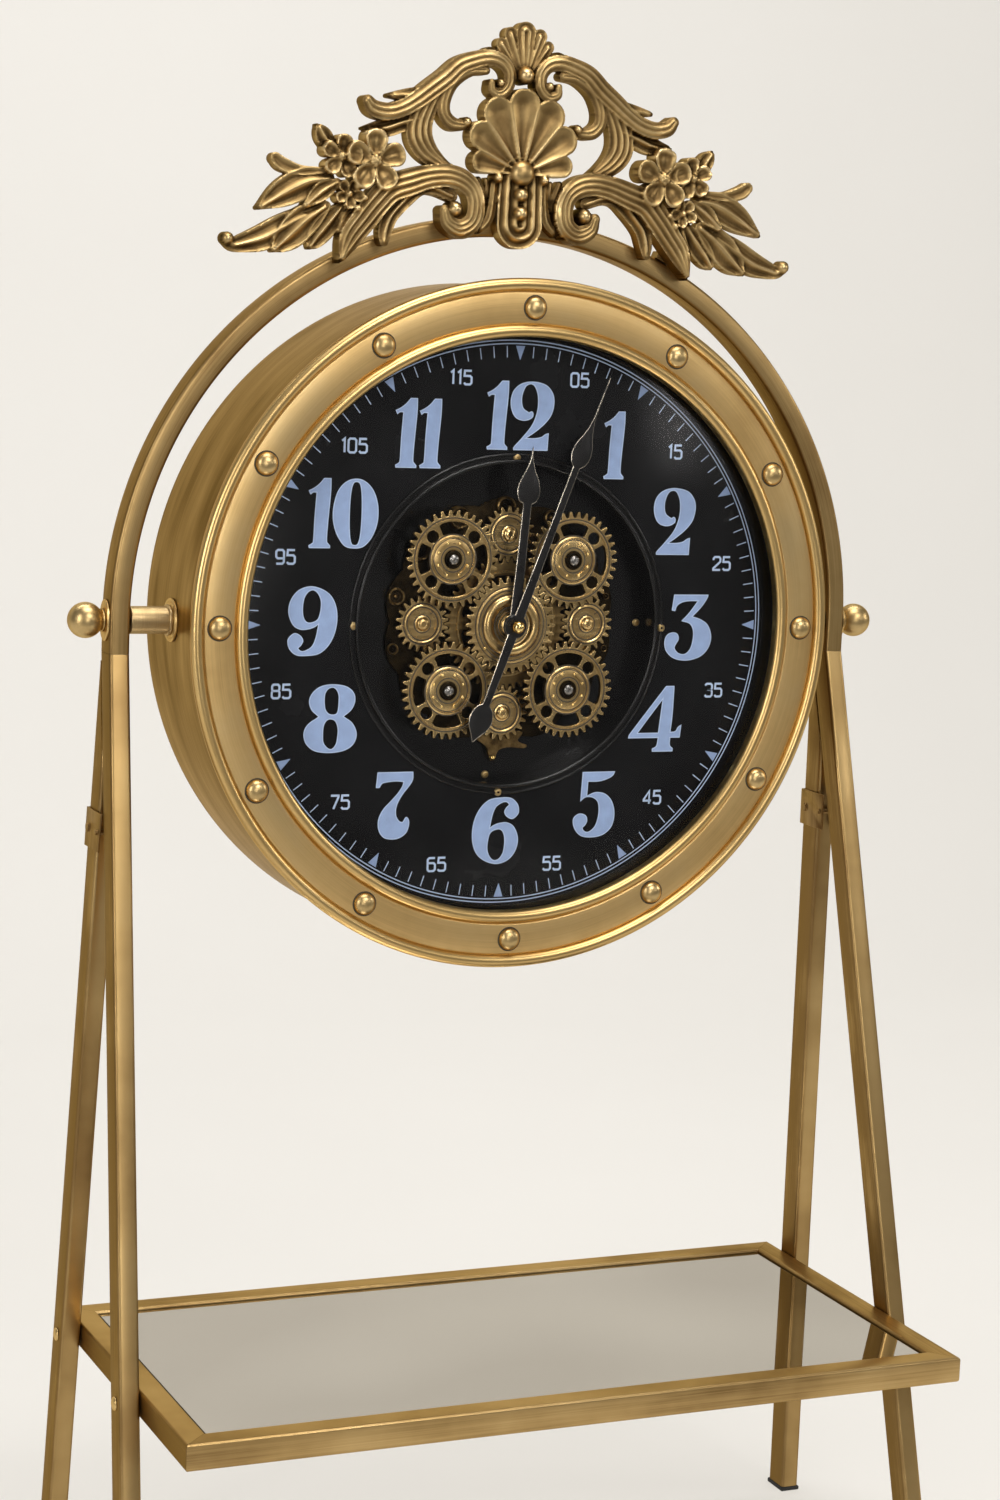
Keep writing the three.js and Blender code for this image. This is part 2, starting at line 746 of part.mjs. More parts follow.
function escutcheon(side) {
  const shape = new THREE.Shape();
  shape.absellipse(0, 0, escutcheonHalfWidth, escutcheonHalfHeight, 0, 2 * Math.PI, false, 0);
  shape.holes.push(circle(boltHole));
  const settings = { depth: escutcheonThickness, bevelEnabled: false, curveSegments: 8 };
  const geometry = new THREE.ExtrudeGeometry(shape, settings);
  geometry.rotateX(quarterTurn).rotateZ(quarterTurn);
  const start = side > 0 ? archOuter + seatGap : -archOuter - seatGap - escutcheonThickness;
  return solidOf(geometry.translate(start, 0, 0));
}

function ballKnob(side) {
  const seat = archOuter + 2 * seatGap + escutcheonThickness;
  const neckEnd = seat + knobNeckLength;
  const centre = neckEnd + Math.sqrt(knobRadius ** 2 - knobNeckRadius ** 2) - 1;
  const profile = [[boltHole, seat], [knobNeckRadius, seat], [knobNeckRadius, neckEnd]];
  const steps = 7;
  const start = Math.PI - Math.asin((knobNeckRadius + 0.8) / knobRadius);
  for (let i = 0; i <= steps; i += 1) {
    const angle = start * (1 - i / steps);
    const radius = i === steps ? 0 : knobRadius * Math.sin(angle);
    profile.push([radius, centre + knobRadius * Math.cos(angle)]);
  }
  const bottom = neckEnd + knobGrip + seatGap;
  profile.push([0, bottom], [boltHole, bottom]);
  return turnedAlongX(profile.map(([radius, x]) => [radius, side * x]));
}

// Drum

function drumShell() {
  const inner = drumRadius - shellWall;
  const ledgeInner = inner - ledgeWidth;
  const ledgeBack = ledgeFront + ledgeThickness;
  const shell = turned([
    [inner, -drumFront],
    [drumRadius, -drumFront],
    [drumRadius, drumBack],
    [inner - backLip, drumBack],
    [inner - backLip, drumBack - shellWall],
    [inner, drumBack - shellWall],
    [inner, ledgeBack],
    [ledgeInner, ledgeBack],
    [ledgeInner, ledgeFront],
    [inner, ledgeFront],
  ]);
  return cut(shell, rodAlongX(boltHole, -drumRadius - 1, drumRadius + 1));
}

// Half round bead as [radius, y] points, from its inner to its outer foot.
function beadPoints(innerRadius, baseY, steps = 4) {
  const half = beadWidth / 2;
  const points = [];
  for (let i = 0; i <= steps; i += 1) {
    const angle = (Math.PI * i) / steps;
    points.push([innerRadius + half - half * Math.cos(angle), baseY - half * Math.sin(angle)]);
  }
  return points;
}

function bezelRing() {
  const back = -drumFront - seatGap;
  const beadBase = back - beadWidth / 2;
  const bandFront = beadBase - beadWidth / 2 + bandSink;
  const bandBack = bandFront + bezelThickness;
  const bandInner = openingRadius + beadWidth;
  const bandOuter = bandInner + bandWidth;
  const skirtOuter = drumRadius - shellWall - seatGap;
  const skirtInner = skirtOuter - bezelThickness / 2;
  const blank = turned([
    [openingRadius, back],
    ...beadPoints(openingRadius, beadBase),
    [bandInner, bandFront],
    [bandOuter, bandFront],
    ...beadPoints(bandOuter, beadBase),
    [bezelOuter - 2, back],
    [skirtOuter, back],
    [skirtOuter, back + skirtLength],
    [skirtInner, back + skirtLength],
    [skirtInner, bandBack],
    [bandInner, bandBack],
    [bandInner - 2, back],
  ]);
  const rivetCircle = bandInner + bandWidth / 2;
  const rivets = [];
  for (let i = 0; i < rivetCount; i += 1) {
    const turn = (2 * Math.PI * i) / rivetCount;
    const dome = new THREE.SphereGeometry(1, 8, 4).scale(rivetRadius, rivetHeight, rivetRadius);
    dome.translate(rivetCircle * Math.sin(turn), bandFront, rivetCircle * Math.cos(turn));
    rivets.push(solidOf(dome));
  }
  const behind = ring(bandInner - 1, skirtInner, bandBack, back + skirtLength);
  return joined(blank, cut(joined(...rivets), behind));
}

// The glass is a shallow cap of a sphere, of even thickness, with its edge behind the inner bead.
function glassDome() {
  const steps = 5;
  const front = [];
  const back = [];
  for (let i = 0; i <= steps; i += 1) {
    const radius = (glassRadius * i) / steps;
    const rise = glassRise - (glassSphere - Math.sqrt(glassSphere ** 2 - radius ** 2));
    front.push([radius, glassFront - rise]);
    back.unshift([radius, glassFront - rise + glassThickness]);
  }
  return turned([...front, ...back], 32);
}

function dialPlate() {
  const rimOuter = glassRadius;
  const rimFront = glassFront + glassThickness + seatGap;
  return turned([
    [wellRadius, dialFront],
    [rimOuter - dialRimWall, dialFront],
    [rimOuter - dialRimWall, rimFront],
    [rimOuter, rimFront],
    [rimOuter, dialBack],
    [wellRadius, dialBack],
  ]);
}

function gearWell() {
  const inner = wellRadius + seatGap;
  const outer = inner + wellWall;
  const front = dialBack + seatGap;
  const cup = turned([
    [0, wellFloorFront],
    [inner, wellFloorFront],
    [inner, front],
    [outer + wellFlange, front],
    [outer + wellFlange, front + wellWall],
    [outer, front + wellWall],
    [outer, wellFloorBack],
    [0, wellFloorBack],
  ], 36);
  const throughFront = wellFloorFront - 1;
  const throughBack = wellFloorBack + 1;
  const tubeHole = disc(wheelBore, throughFront, throughBack);
  const shaftHole = disc(smallPostRadius + boreGap, throughFront, throughBack, boltSides);
  return cut(cup, tubeHole, shaftHole.translate([-smallReach, 0, 0]));
}

const hingeX = -(hatchWidth / 2 + doorLap);
const hingeY = coverBack + seatGap + knuckleRadius;
const doorHeight = hatchHeight + 2 * doorLap;

// The cover has a hatch, and two ears beside it that hold the door's hinge pin.
function backCover() {
  const full = disc(drumRadius - shellWall - seatGap, coverFront, coverBack, roundSides);
  const sheet = cut(full, box(hatchWidth, 4 * coverThickness, hatchHeight, 0, coverBack, 0));
  const earDepth = hingeY + pinRadius + 1 - coverBack + coverThickness / 2;
  const earMiddle = hingeY + pinRadius + 1 - earDepth / 2;
  const earZ = doorHeight / 2 + seatGap + earThickness / 2;
  const earWidth = 2 * knuckleRadius;
  const ears = [-1, 1].map((end) => box(earWidth, earDepth, earThickness, hingeX, earMiddle, end * earZ));
  const pinLength = doorHeight + 2 * seatGap + earThickness;
  const pin = new THREE.CylinderGeometry(pinRadius, pinRadius, pinLength, 8).rotateX(quarterTurn);
  return joined(sheet, ...ears, solidOf(pin.translate(hingeX, hingeY, 0)));
}

// Door over the hatch: its left edge is rolled round the hinge pin, and it has a pull at the right.
function accessDoor() {
  const front = coverBack + seatGap;
  const width = hatchWidth + 2 * doorLap;
  const sheet = box(width, doorThickness, doorHeight, hingeX + width / 2, front + doorThickness / 2, 0);
  const knuckle = new THREE.CylinderGeometry(knuckleRadius, knuckleRadius, doorHeight, 12);
  const rolled = solidOf(knuckle.rotateX(quarterTurn).translate(hingeX, hingeY, 0));
  const boreRadius = pinRadius + seatGap;
  const bore = new THREE.CylinderGeometry(boreRadius, boreRadius, doorHeight + 2, 8);
  const pull = disc(pullRadius, front + 1, front + doorThickness + pullHeight, 12);
  const placed = pull.translate([hatchWidth / 2 - pullRadius, 0, 0]);
  return cut(joined(sheet, rolled, placed), solidOf(bore.rotateX(quarterTurn).translate(hingeX, hingeY, 0)));
}

// Gears

// Outline of a spur gear: four points for each tooth, with the first tooth's middle at start.
function gearShape(teeth, module, start) {
  const pitchRadius = (teeth * module) / 2;
  const tipRadius = pitchRadius + 0.95 * module;
  const rootRadius = pitchRadius - 1.25 * module;
  const tooth = (2 * Math.PI) / teeth;
  const corners = [[rootRadius, -0.33], [tipRadius, -0.115], [tipRadius, 0.115], [rootRadius, 0.33]];
  const points = [];
  for (let i = 0; i < teeth; i += 1) {
    for (const [radius, share] of corners) {
      const angle = start + tooth * (i + share);
      points.push(new THREE.Vector2(radius * Math.cos(angle), radius * Math.sin(angle)));
    }
  }
  return new THREE.Shape(points);
}

function arcWindow(inner, outer, middle, halfSpan) {
  const steps = 3;
  const points = [];
  for (let i = 0; i <= steps; i += 1) {
    const angle = middle + halfSpan * ((2 * i) / steps - 1);
    const spoke = new THREE.Vector2(Math.cos(angle), Math.sin(angle));
    points.push(spoke.clone().multiplyScalar(inner));
    points.unshift(spoke.clone().multiplyScalar(outer));
  }
  return new THREE.Path(points);
}

const cornerModule = cornerReach / wheelTeeth;
const ringModule = (2 * smallReach) / (ringTeeth + smallTeeth);
const ringOuter = (ringTeeth * ringModule) / 2;

// Angle of the first tooth of a gear that meshes with a driver whose first tooth is at angle 0.
function meshedStart(direction, driverTeeth, teeth) {
  return direction + Math.PI + Math.PI / teeth + (driverTeeth / teeth) * direction;
}

function centerWheel() {
  const shape = gearShape(wheelTeeth, cornerModule, 0);
  shape.holes.push(circle(centreTubeRadius + boreGap + 1));
  const toothed = plate(shape, frontGearFront, frontGearBack, 6);
  const face = frontGearFront;
  const rings = turned([
    [wheelBore, frontGearBack],
    [wheelBore, face - 4],
    [9, face - 4],
    [10.5, face - 0.6],
    [18, face - 0.6],
    [20.5, face - 3.2],
    [25, face - 3.2],
    [28, face - 1],
    [33.5, face - 1],
    [33.5, face + 1],
    [12, frontGearBack],
  ], 20);
  return joined(toothed, rings);
}

function ringGear() {
  const shape = gearShape(ringTeeth, ringModule, 0);
  shape.holes.push(circle(wheelBore));
  const windows = 6;
  for (let i = 0; i < windows; i += 1) {
    const middle = (2 * Math.PI * (i + 0.5)) / windows;
    shape.holes.push(arcWindow(ringOuter * 0.42, ringOuter * 0.76, middle, Math.PI / windows - 0.14));
  }
  const toothed = plate(shape, rearGearFront, rearGearBack, 4);
  return joined(toothed, ring(wheelBore, 9, frontGearBack + seatGap, rearGearBack, 16));
}

function cornerGear(direction) {
  const shape = gearShape(wheelTeeth, cornerModule, meshedStart(direction, wheelTeeth, wheelTeeth));
  shape.holes.push(circle(studRadius + boreGap));
  const pitchRadius = cornerReach / 2;
  for (let i = 0; i < 4; i += 1) {
    const turn = (i * Math.PI) / 2;
    shape.holes.push(arcWindow(pitchRadius * 0.55, pitchRadius * 0.8, turn, 0.42));
    const reach = pitchRadius * 0.675;
    const hole = turn + Math.PI / 4;
    shape.holes.push(circle(pitchRadius * 0.125, reach * Math.cos(hole), reach * Math.sin(hole)));
  }
  return plate(shape, frontGearFront, frontGearBack);
}

function smallGear(direction) {
  const shape = gearShape(smallTeeth, ringModule, meshedStart(direction, ringTeeth, smallTeeth));
  const toothed = plate(shape, rearGearFront, rearGearBack, 4);
  const cap = turned([
    [0, rearGearFront - capHeight],
    [capRadius * 0.6, rearGearFront - capHeight],
    [capRadius, rearGearFront - capHeight * 0.5],
    [capRadius, rearGearFront + 1],
    [0, rearGearFront + 1],
  ], 12);
  const bore = disc(smallPostRadius + boreGap, rearGearFront - capHeight / 2, rearGearBack + 1, 10);
  return cut(joined(toothed, cap), bore);
}

function cornerStud() {
  const collar = studRadius + studCollar;
  const headBack = frontGearFront - 2 * seatGap;
  return turned([
    [0, plateBack],
    [studRadius - 1.5, plateBack],
    [studRadius - 1.5, plateFront - seatGap],
    [collar, plateFront - seatGap],
    [collar, frontGearBack + seatGap],
    [studRadius, frontGearBack + seatGap],
    [studRadius, headBack],
    [studHeadRadius, headBack],
    [studHeadRadius, headBack - studHeadHeight * 0.45],
    [studHeadRadius * 0.5, studFront],
    [0, studFront],
  ], 12);
}

function gearPlate() {
  const shape = new THREE.Shape();
  const steps = plateScallops * 4;
  const points = [];
  for (let i = 0; i < steps; i += 1) {
    const angle = (2 * Math.PI * i) / steps;
    const radius = plateRadius + plateScallop * Math.abs(Math.sin((plateScallops * angle) / 2));
    points.push(new THREE.Vector2(radius * Math.cos(angle), radius * Math.sin(angle)));
  }
  shape.setFromPoints(points);
  shape.holes.push(circle(wheelBore));
  shape.holes.push(circle(smallPostRadius + boreGap, -smallReach, 0));
  const reach = cornerReach / Math.SQRT2;
  const seat = studRadius - 1.5 + boreGap;
  [[-1, -1], [-1, 1], [1, -1], [1, 1]].forEach(([x, z]) => {
    shape.holes.push(circle(seat, x * reach, z * reach));
  });
  const sheet = plate(shape, plateFront, plateBack, 4);
  const post = turned([
    [0, rearGearFront - capHeight / 2 + seatGap],
    [smallPostRadius, rearGearFront - capHeight / 2 + seatGap],
    [smallPostRadius, rearGearBack + seatGap],
    [5, rearGearBack + seatGap],
    [5, plateFront + 1],
    [0, plateFront + 1],
  ], 12);
  const posts = [[0, smallReach], [smallReach, 0], [0, -smallReach]];
  return joined(sheet, ...posts.map(([x, z]) => post.translate([x, 0, z])));
}

// Movement, motor and hands

const batteryZ = -caseSide / 2 + batteryRadius + 8;
const batteryY = caseBack - batteryRadius - 1;
const setWheelZ = caseSide / 4;

function movementCase() {
  const blank = box(caseSide, caseDepth, caseSide, 0, (caseFront + caseBack) / 2, 0);
  const tube = ring(tubeBore, centreTubeRadius, hourBack + seatGap, caseFront + 1);
  const bore = disc(tubeBore, hourBack, caseBack - caseWall);
  const pocketWidth = batteryLength + 2 * seatGap + 2;
  const pocketSide = 2 * (batteryRadius + seatGap);
  const pocketY = batteryY - batteryRadius - seatGap;
  const pocketDepth = caseBack + 1 - pocketY;
  const pocket = box(pocketWidth, pocketDepth, pocketSide, 0, pocketY + pocketDepth / 2, batteryZ);
  const stemHole = disc(arborRadius + boreGap, caseBack - 6, caseBack + 1, 10);
  return cut(joined(blank, tube), bore, pocket, stemHole.translate([0, 0, setWheelZ]));
}

function battery() {
  const half = batteryLength / 2;
  const profile = [[0, -half], [batteryRadius, -half], [batteryRadius, half - 1]];
  profile.push([2.7, half - 1], [2.7, half], [0, half]);
  return turnedAlongX(profile, 14).translate([0, batteryY, batteryZ]);
}

function timeSetWheel() {
  const front = caseBack + seatGap;
  return turned([
    [0, caseBack - 5],
    [arborRadius, caseBack - 5],
    [arborRadius, front],
    [setWheelRadius, front],
    [setWheelRadius, front + setWheelThickness],
    [0, front + setWheelThickness],
  ], 16);
}

function gearMotor() {
  return turned([
    [0, rearGearFront - capHeight / 2 + seatGap],
    [smallPostRadius, rearGearFront - capHeight / 2 + seatGap],
    [smallPostRadius, caseFront],
    [motorRadius, caseFront],
    [motorRadius, caseFront + motorLength],
    [0, caseFront + motorLength],
  ], 16);
}

// A hand's outline from [distance from the hub, half width] pairs, pointing up.
function handShape(stations) {
  const right = stations.map(([along, half]) => new THREE.Vector2(half, along));
  const left = stations.map(([along, half]) => new THREE.Vector2(-half, along)).reverse();
  return new THREE.Shape([...right, ...left]);
}

const hourStations = [
  [0, 5.5],
  [hourLength * 0.62, 3.6],
  [hourLength * 0.69, 7],
  [hourLength * 0.75, 11],
  [hourLength * 0.82, 8],
  [hourLength * 0.9, 3],
  [hourLength, 0.4],
];
const minuteStations = [
  [-minuteTail, 0.4],
  [-minuteTail * 0.9, 7],
  [-minuteTail * 0.8, 11],
  [-minuteTail * 0.7, 8],
  [-minuteTail * 0.62, 3.2],
  [0, 5],
  [minuteLength * 0.58, 2.8],
  [minuteLength * 0.63, 5],
  [minuteLength * 0.67, 8.5],
  [minuteLength * 0.72, 6],
  [minuteLength * 0.78, 2],
  [minuteLength, 0.4],
];

function turnedHand(stations, front, back, degrees) {
  const blade = plate(handShape(stations), front, back).rotate([0, degrees, 0]);
  return joined(blade, disc(hubRadius, front, back));
}

function hourHand() {
  const blade = turnedHand(hourStations, hourFront, hourBack, hourAngle);
  const pipe = disc(pipeRadius, hourFront, caseFront + caseDepth / 3);
  return cut(joined(blade, pipe), disc(arborHole, hourFront - 1, caseBack));
}

function minuteHand() {
  const blade = turnedHand(minuteStations, minuteFront, minuteBack, minuteAngle);
  const arbor = disc(arborRadius, minuteFront - nutRadius, caseFront + caseDepth / 2);
  return joined(blade, arbor);
}

function handNut() {
  const seat = minuteFront - seatGap;
  const centre = seat - nutRadius * 0.8;
  const profile = [[arborRadius + boreGap, seat]];
  const steps = 6;
  for (let i = 0; i <= steps; i += 1) {
    const angle = 2.5 * (1 - i / steps);
    const radius = i === steps ? 0 : nutRadius * Math.sin(angle);
    profile.push([radius, centre - nutRadius * Math.cos(angle)]);
  }
  profile[1][1] = seat;
  profile.push([0, minuteFront - nutRadius - seatGap]);
  profile.push([arborRadius + boreGap, minuteFront - nutRadius - seatGap]);
  const points = profile.map(([radius, y]) => new THREE.Vector2(radius, y));
  points.push(points[0].clone());
  return solidOf(new THREE.LatheGeometry(points, 16));
}

// Assembly

const sides = [["left", -1], ["right", 1]];

addPart(stand, "arch_tube", archTube(), brass);
addPart(stand, "crown_ornament", crownOrnament(), crownBrass);
for (const [name, side] of sides) {
  addPart(stand, name + "_front_leg", frontLeg(side), brass);
  addPart(stand, name + "_rear_leg", rearLeg(side), brass);
  addPart(stand, name + "_leg_clip", legClip(side), brass);
  addPart(stand, name + "_front_foot", footCap(side, frontSlope), plastic);
  addPart(stand, name + "_rear_foot", footCap(side, -rearSlope), plastic);
  addPart(stand, name + "_front_shelf_bolt", shelfBolt(side, frontSlope), brass);
  addPart(stand, name + "_rear_shelf_bolt", shelfBolt(side, -rearSlope), brass);
  addPart(stand, "shelf_" + name + "_rail", sideRail(side), brass);
  addPart(stand, name + "_escutcheon", escutcheon(side), brass);
  addPart(drum, name + "_pivot_bolt", pivotBolt(side), steel);
  addPart(drum, name + "_pivot_flange", pivotFlange(side), brass);
  addPart(drum, name + "_pivot_sleeve", pivotSleeve(side), brass);
  addPart(drum, name + "_ball_knob", ballKnob(side), brass);
}
addPart(stand, "shelf_front_rail", shelfRail(2 * shelfHalfWidth, 0, 0, -shelfFront), brass);
addPart(stand, "shelf_back_rail", shelfRail(2 * shelfHalfWidth, 180, 0, shelfBack), brass);
addPart(stand, "shelf_mirror", shelfMirror(), mirror);

addPart(drum, "drum_shell", drumShell(), brass);
addPart(drum, "bezel_ring", bezelRing(), brass);
addPart(drum, "glass_dome", glassDome(), glass);
addPart(drum, "dial_plate", dialPlate(), black);
addPart(drum, "gear_well", gearWell(), black);
addPart(drum, "back_cover", backCover(), backSteel);
addPart(drum, "access_door", accessDoor(), backSteel);
addPart(drum, "gear_plate", gearPlate(), darkBronze);
addPart(drum, "movement_case", movementCase(), plastic);
addPart(drum, "battery", battery(), steel);
addPart(drum, "time_set_wheel", timeSetWheel(), plastic, 0, 0, setWheelZ);
addPart(drum, "gear_motor", gearMotor(), steel, -smallReach, 0, 0);
addPart(drum, "center_wheel", centerWheel(), gearBrass);
addPart(drum, "ring_gear", ringGear(), gearBrass);

const cornerAt = cornerReach / Math.SQRT2;
const corners = [
  ["upper_left", -1, 1],
  ["upper_right", 1, 1],
  ["lower_left", -1, -1],
  ["lower_right", 1, -1],
];
for (const [name, x, z] of corners) {
  const direction = Math.atan2(z, x);
  addPart(drum, name + "_gear", cornerGear(direction), gearBrass, x * cornerAt, 0, z * cornerAt);
  addPart(drum, name + "_stud", cornerStud(), steel, x * cornerAt, 0, z * cornerAt);
}
const quarters = [["top", 0, 1], ["right", 1, 0], ["bottom", 0, -1], ["left", -1, 0]];
for (const [name, x, z] of quarters) {
  const direction = Math.atan2(z, x);
  const gear = smallGear(direction);
  addPart(drum, name + "_small_gear", gear, gearBrass, x * smallReach, 0, z * smallReach);
}
addPart(drum, "hour_hand", hourHand(), black);
addPart(drum, "minute_hand", minuteHand(), black);
addPart(drum, "hand_nut", handNut(), brass);

// Stand the clock on z = 0 with the middle of its footprint at the origin.
const bounds = new THREE.Box3().setFromObject(clock);
const middle = bounds.getCenter(new THREE.Vector3());
clock.position.set(-middle.x, -middle.y, -bounds.min.z);

export default clock;
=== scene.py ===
# %% [markdown]
# # A floor-standing gear clock
# A big round drum hangs between the ends of an arched tube stand and tilts on two pivots.
# Its front is a riveted brass bezel with a domed glass, a black dial with pale numerals and a hole
# in the middle through which brass gears turn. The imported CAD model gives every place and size.
# This notebook dresses it: each step says what a piece is, and then makes it in a short cell.

# %% Frame, pivot and units
import json
import math

import bmesh
import bpy
import numpy as np
from mathutils import Matrix, Vector


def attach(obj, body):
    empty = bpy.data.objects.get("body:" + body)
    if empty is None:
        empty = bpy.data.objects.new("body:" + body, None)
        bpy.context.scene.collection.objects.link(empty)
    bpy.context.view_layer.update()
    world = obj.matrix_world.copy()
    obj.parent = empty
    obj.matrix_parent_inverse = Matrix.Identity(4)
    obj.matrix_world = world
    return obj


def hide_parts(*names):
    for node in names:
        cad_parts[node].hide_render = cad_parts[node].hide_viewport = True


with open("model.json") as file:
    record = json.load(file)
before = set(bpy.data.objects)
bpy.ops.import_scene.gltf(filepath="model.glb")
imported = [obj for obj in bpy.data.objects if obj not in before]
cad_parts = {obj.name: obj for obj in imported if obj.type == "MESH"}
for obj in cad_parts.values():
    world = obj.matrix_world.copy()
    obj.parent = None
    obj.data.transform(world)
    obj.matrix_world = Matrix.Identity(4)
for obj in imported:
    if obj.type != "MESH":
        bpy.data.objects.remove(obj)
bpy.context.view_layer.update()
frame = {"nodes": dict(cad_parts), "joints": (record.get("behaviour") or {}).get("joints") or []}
MM = 0.001
PIVOT = Vector(next(j for j in frame["joints"] if j["name"] == "drum_tilt")["pos_m"])
HANDS = (("left", -1), ("right", 1))
scene = bpy.context.scene


def placed(x, y, z):
    """A place in millimetres from the middle of the drum's pivot line, as a point of the frame."""
    return PIVOT + Vector((x, y, z)) * MM


def shown(name, data):
    """An object in the scene, at the origin."""
    made = bpy.data.objects.new(name, data)
    scene.collection.objects.link(made)
    return made


print("pivot at", [round(v, 4) for v in PIVOT], "nodes", len(frame["nodes"]))

# %% [markdown]
# The camera stands where the photographer stood: left of the middle, a little above the pivots,
# 2.7 m away and looking slightly down. It was fitted to the rivets, the numerals, the ball knobs
# and the corners of the shelf, so a piece that is placed by the CAD falls on its own image.

# %% Camera
VIEW_YAW = 0.4149
VIEW_PITCH = 0.1428
VIEW_ROLL = 0.0412
IMAGE_HEIGHT = 1500
FOCAL_PIXELS = 3025.1
CENTRE_ROW = 767.9
SENSOR = 24.0
camera_place = placed(-1084.6, -2497.7, 256.97)
level_right = Vector((math.cos(VIEW_YAW), -math.sin(VIEW_YAW), 0))
forward = Vector((
    math.sin(VIEW_YAW) * math.cos(VIEW_PITCH),
    math.cos(VIEW_YAW) * math.cos(VIEW_PITCH),
    -math.sin(VIEW_PITCH),
))
level_up = level_right.cross(forward)
camera_right = level_right * math.cos(VIEW_ROLL) + level_up * math.sin(VIEW_ROLL)
camera_up = level_up * math.cos(VIEW_ROLL) - level_right * math.sin(VIEW_ROLL)
camera_data = bpy.data.cameras.new("camera")
camera_data.sensor_width = SENSOR
camera_data.lens = FOCAL_PIXELS / IMAGE_HEIGHT * SENSOR
camera_data.shift_y = (CENTRE_ROW - IMAGE_HEIGHT / 2) / IMAGE_HEIGHT
camera_data.clip_end = 50
camera = shown("camera", camera_data)
turn = Matrix((camera_right, camera_up, -forward)).transposed().to_4x4()
camera.matrix_world = Matrix.Translation(camera_place) @ turn
scene.camera = camera
scene.view_settings.view_transform = "Standard"
print("lens", round(camera_data.lens, 2), "mm")

# %% [markdown]
# ## Finishes
# A finish is a small node tree. Brushed metal is not one colour: fine lines run along the way the
# abrasive went, and a slow cloud of patina lies over them. The lines come from a noise with a
# fourth input, W. W grows across the brushing and the other three inputs hardly change, so the
# noise draws lines. Each mesh carries that distance in an attribute named "across".

# %% Node helpers
def add(tree, kind, inputs=(), **settings):
    """A node; each input, by name or number, is joined to another node's output or gets a value."""
    made = tree.nodes.new(kind)
    for name, value in settings.items():
        setattr(made, name, value)
    for key, value in dict(inputs).items():
        if isinstance(value, bpy.types.NodeSocket):
            tree.links.new(value, made.inputs[key])
        else:
            made.inputs[key].default_value = value
    return made


def new_material(name):
    material = bpy.data.materials.new(name)
    material.use_nodes = True
    material.node_tree.nodes.clear()
    return material


def node(material, kind, inputs=(), **settings):
    return add(material.node_tree, kind, inputs, **settings)


def object_noise(material, scale, detail=3.0, roughness=0.55):
    """Noise on Object coordinates."""
    place = node(material, "ShaderNodeTexCoord").outputs["Object"]
    inputs = {"Vector": place, "Scale": scale, "Detail": detail, "Roughness": roughness}
    return node(material, "ShaderNodeTexNoise", inputs).outputs["Fac"]


def attribute(material, name):
    return node(material, "ShaderNodeAttribute", attribute_name=name).outputs["Fac"]


def arithmetic(material, operation, first, second=0.0):
    return node(material, "ShaderNodeMath", {0: first, 1: second}, operation=operation).outputs[0]


def blend(material, first, second, share):
    """A share of the second value, and the rest of the first."""
    rest = arithmetic(material, "MULTIPLY", first, 1 - share)
    return arithmetic(material, "ADD", rest, arithmetic(material, "MULTIPLY", second, share))


def ramp(material, factor, stops):
    """A colour ramp from (place, colour) stops."""
    made = node(material, "ShaderNodeValToRGB", {"Fac": factor})
    elements = made.color_ramp.elements
    while len(elements) < len(stops):
        elements.new(0.5)
    for element, (place, colour) in zip(elements, stops):
        element.position = place
        element.color = (*colour, 1)
    return made.outputs["Color"]


def level(material, factor, low, high, new_low, new_high):
    """Maps low..high of a factor to new_low..new_high."""
    inputs = {"Value": factor, "From Min": low, "From Max": high, "To Min": new_low, "To Max": new_high}
    return node(material, "ShaderNodeMapRange", inputs).outputs["Result"]


def grain_lines(material, lines_per_metre):
    """Lines that keep to one distance across the brushing."""
    place = node(material, "ShaderNodeTexCoord").outputs["Object"]
    slow = node(material, "ShaderNodeMapping", {"Vector": place, "Scale": (9, 9, 9)}).outputs["Vector"]
    far = arithmetic(material, "MULTIPLY", attribute(material, "across"), lines_per_metre)
    inputs = {"Vector": slow, "W": far, "Scale": 1, "Detail": 2}
    return node(material, "ShaderNodeTexNoise", inputs, noise_dimensions="4D").outputs["Fac"]


def surface(material, shader):
    node(material, "ShaderNodeOutputMaterial", {"Surface": shader})


def mixed(material, factor, first, second):
    """The first shader where the factor is 0 and the second where it is 1."""
    return node(material, "ShaderNodeMixShader", {0: factor, 1: first, 2: second}).outputs["Shader"]


METAL_EDGE = (0.80, 0.66, 0.44, 1)


def principled(material, metallic, colour, roughness, others=()):
    """A Principled surface. Metal keeps its warm tint where it is seen at a flat angle."""
    inputs = {"Metallic": metallic, "Base Color": colour, "Roughness": roughness}
    if metallic:
        inputs["Specular Tint"] = METAL_EDGE
    inputs.update(others)
    surface(material, node(material, "ShaderNodeBsdfPrincipled", inputs).outputs["BSDF"])


def bump(material, height, strength, distance):
    inputs = {"Height": height, "Strength": strength, "Distance": distance}
    return {"Normal": node(material, "ShaderNodeBump", inputs).outputs["Normal"]}
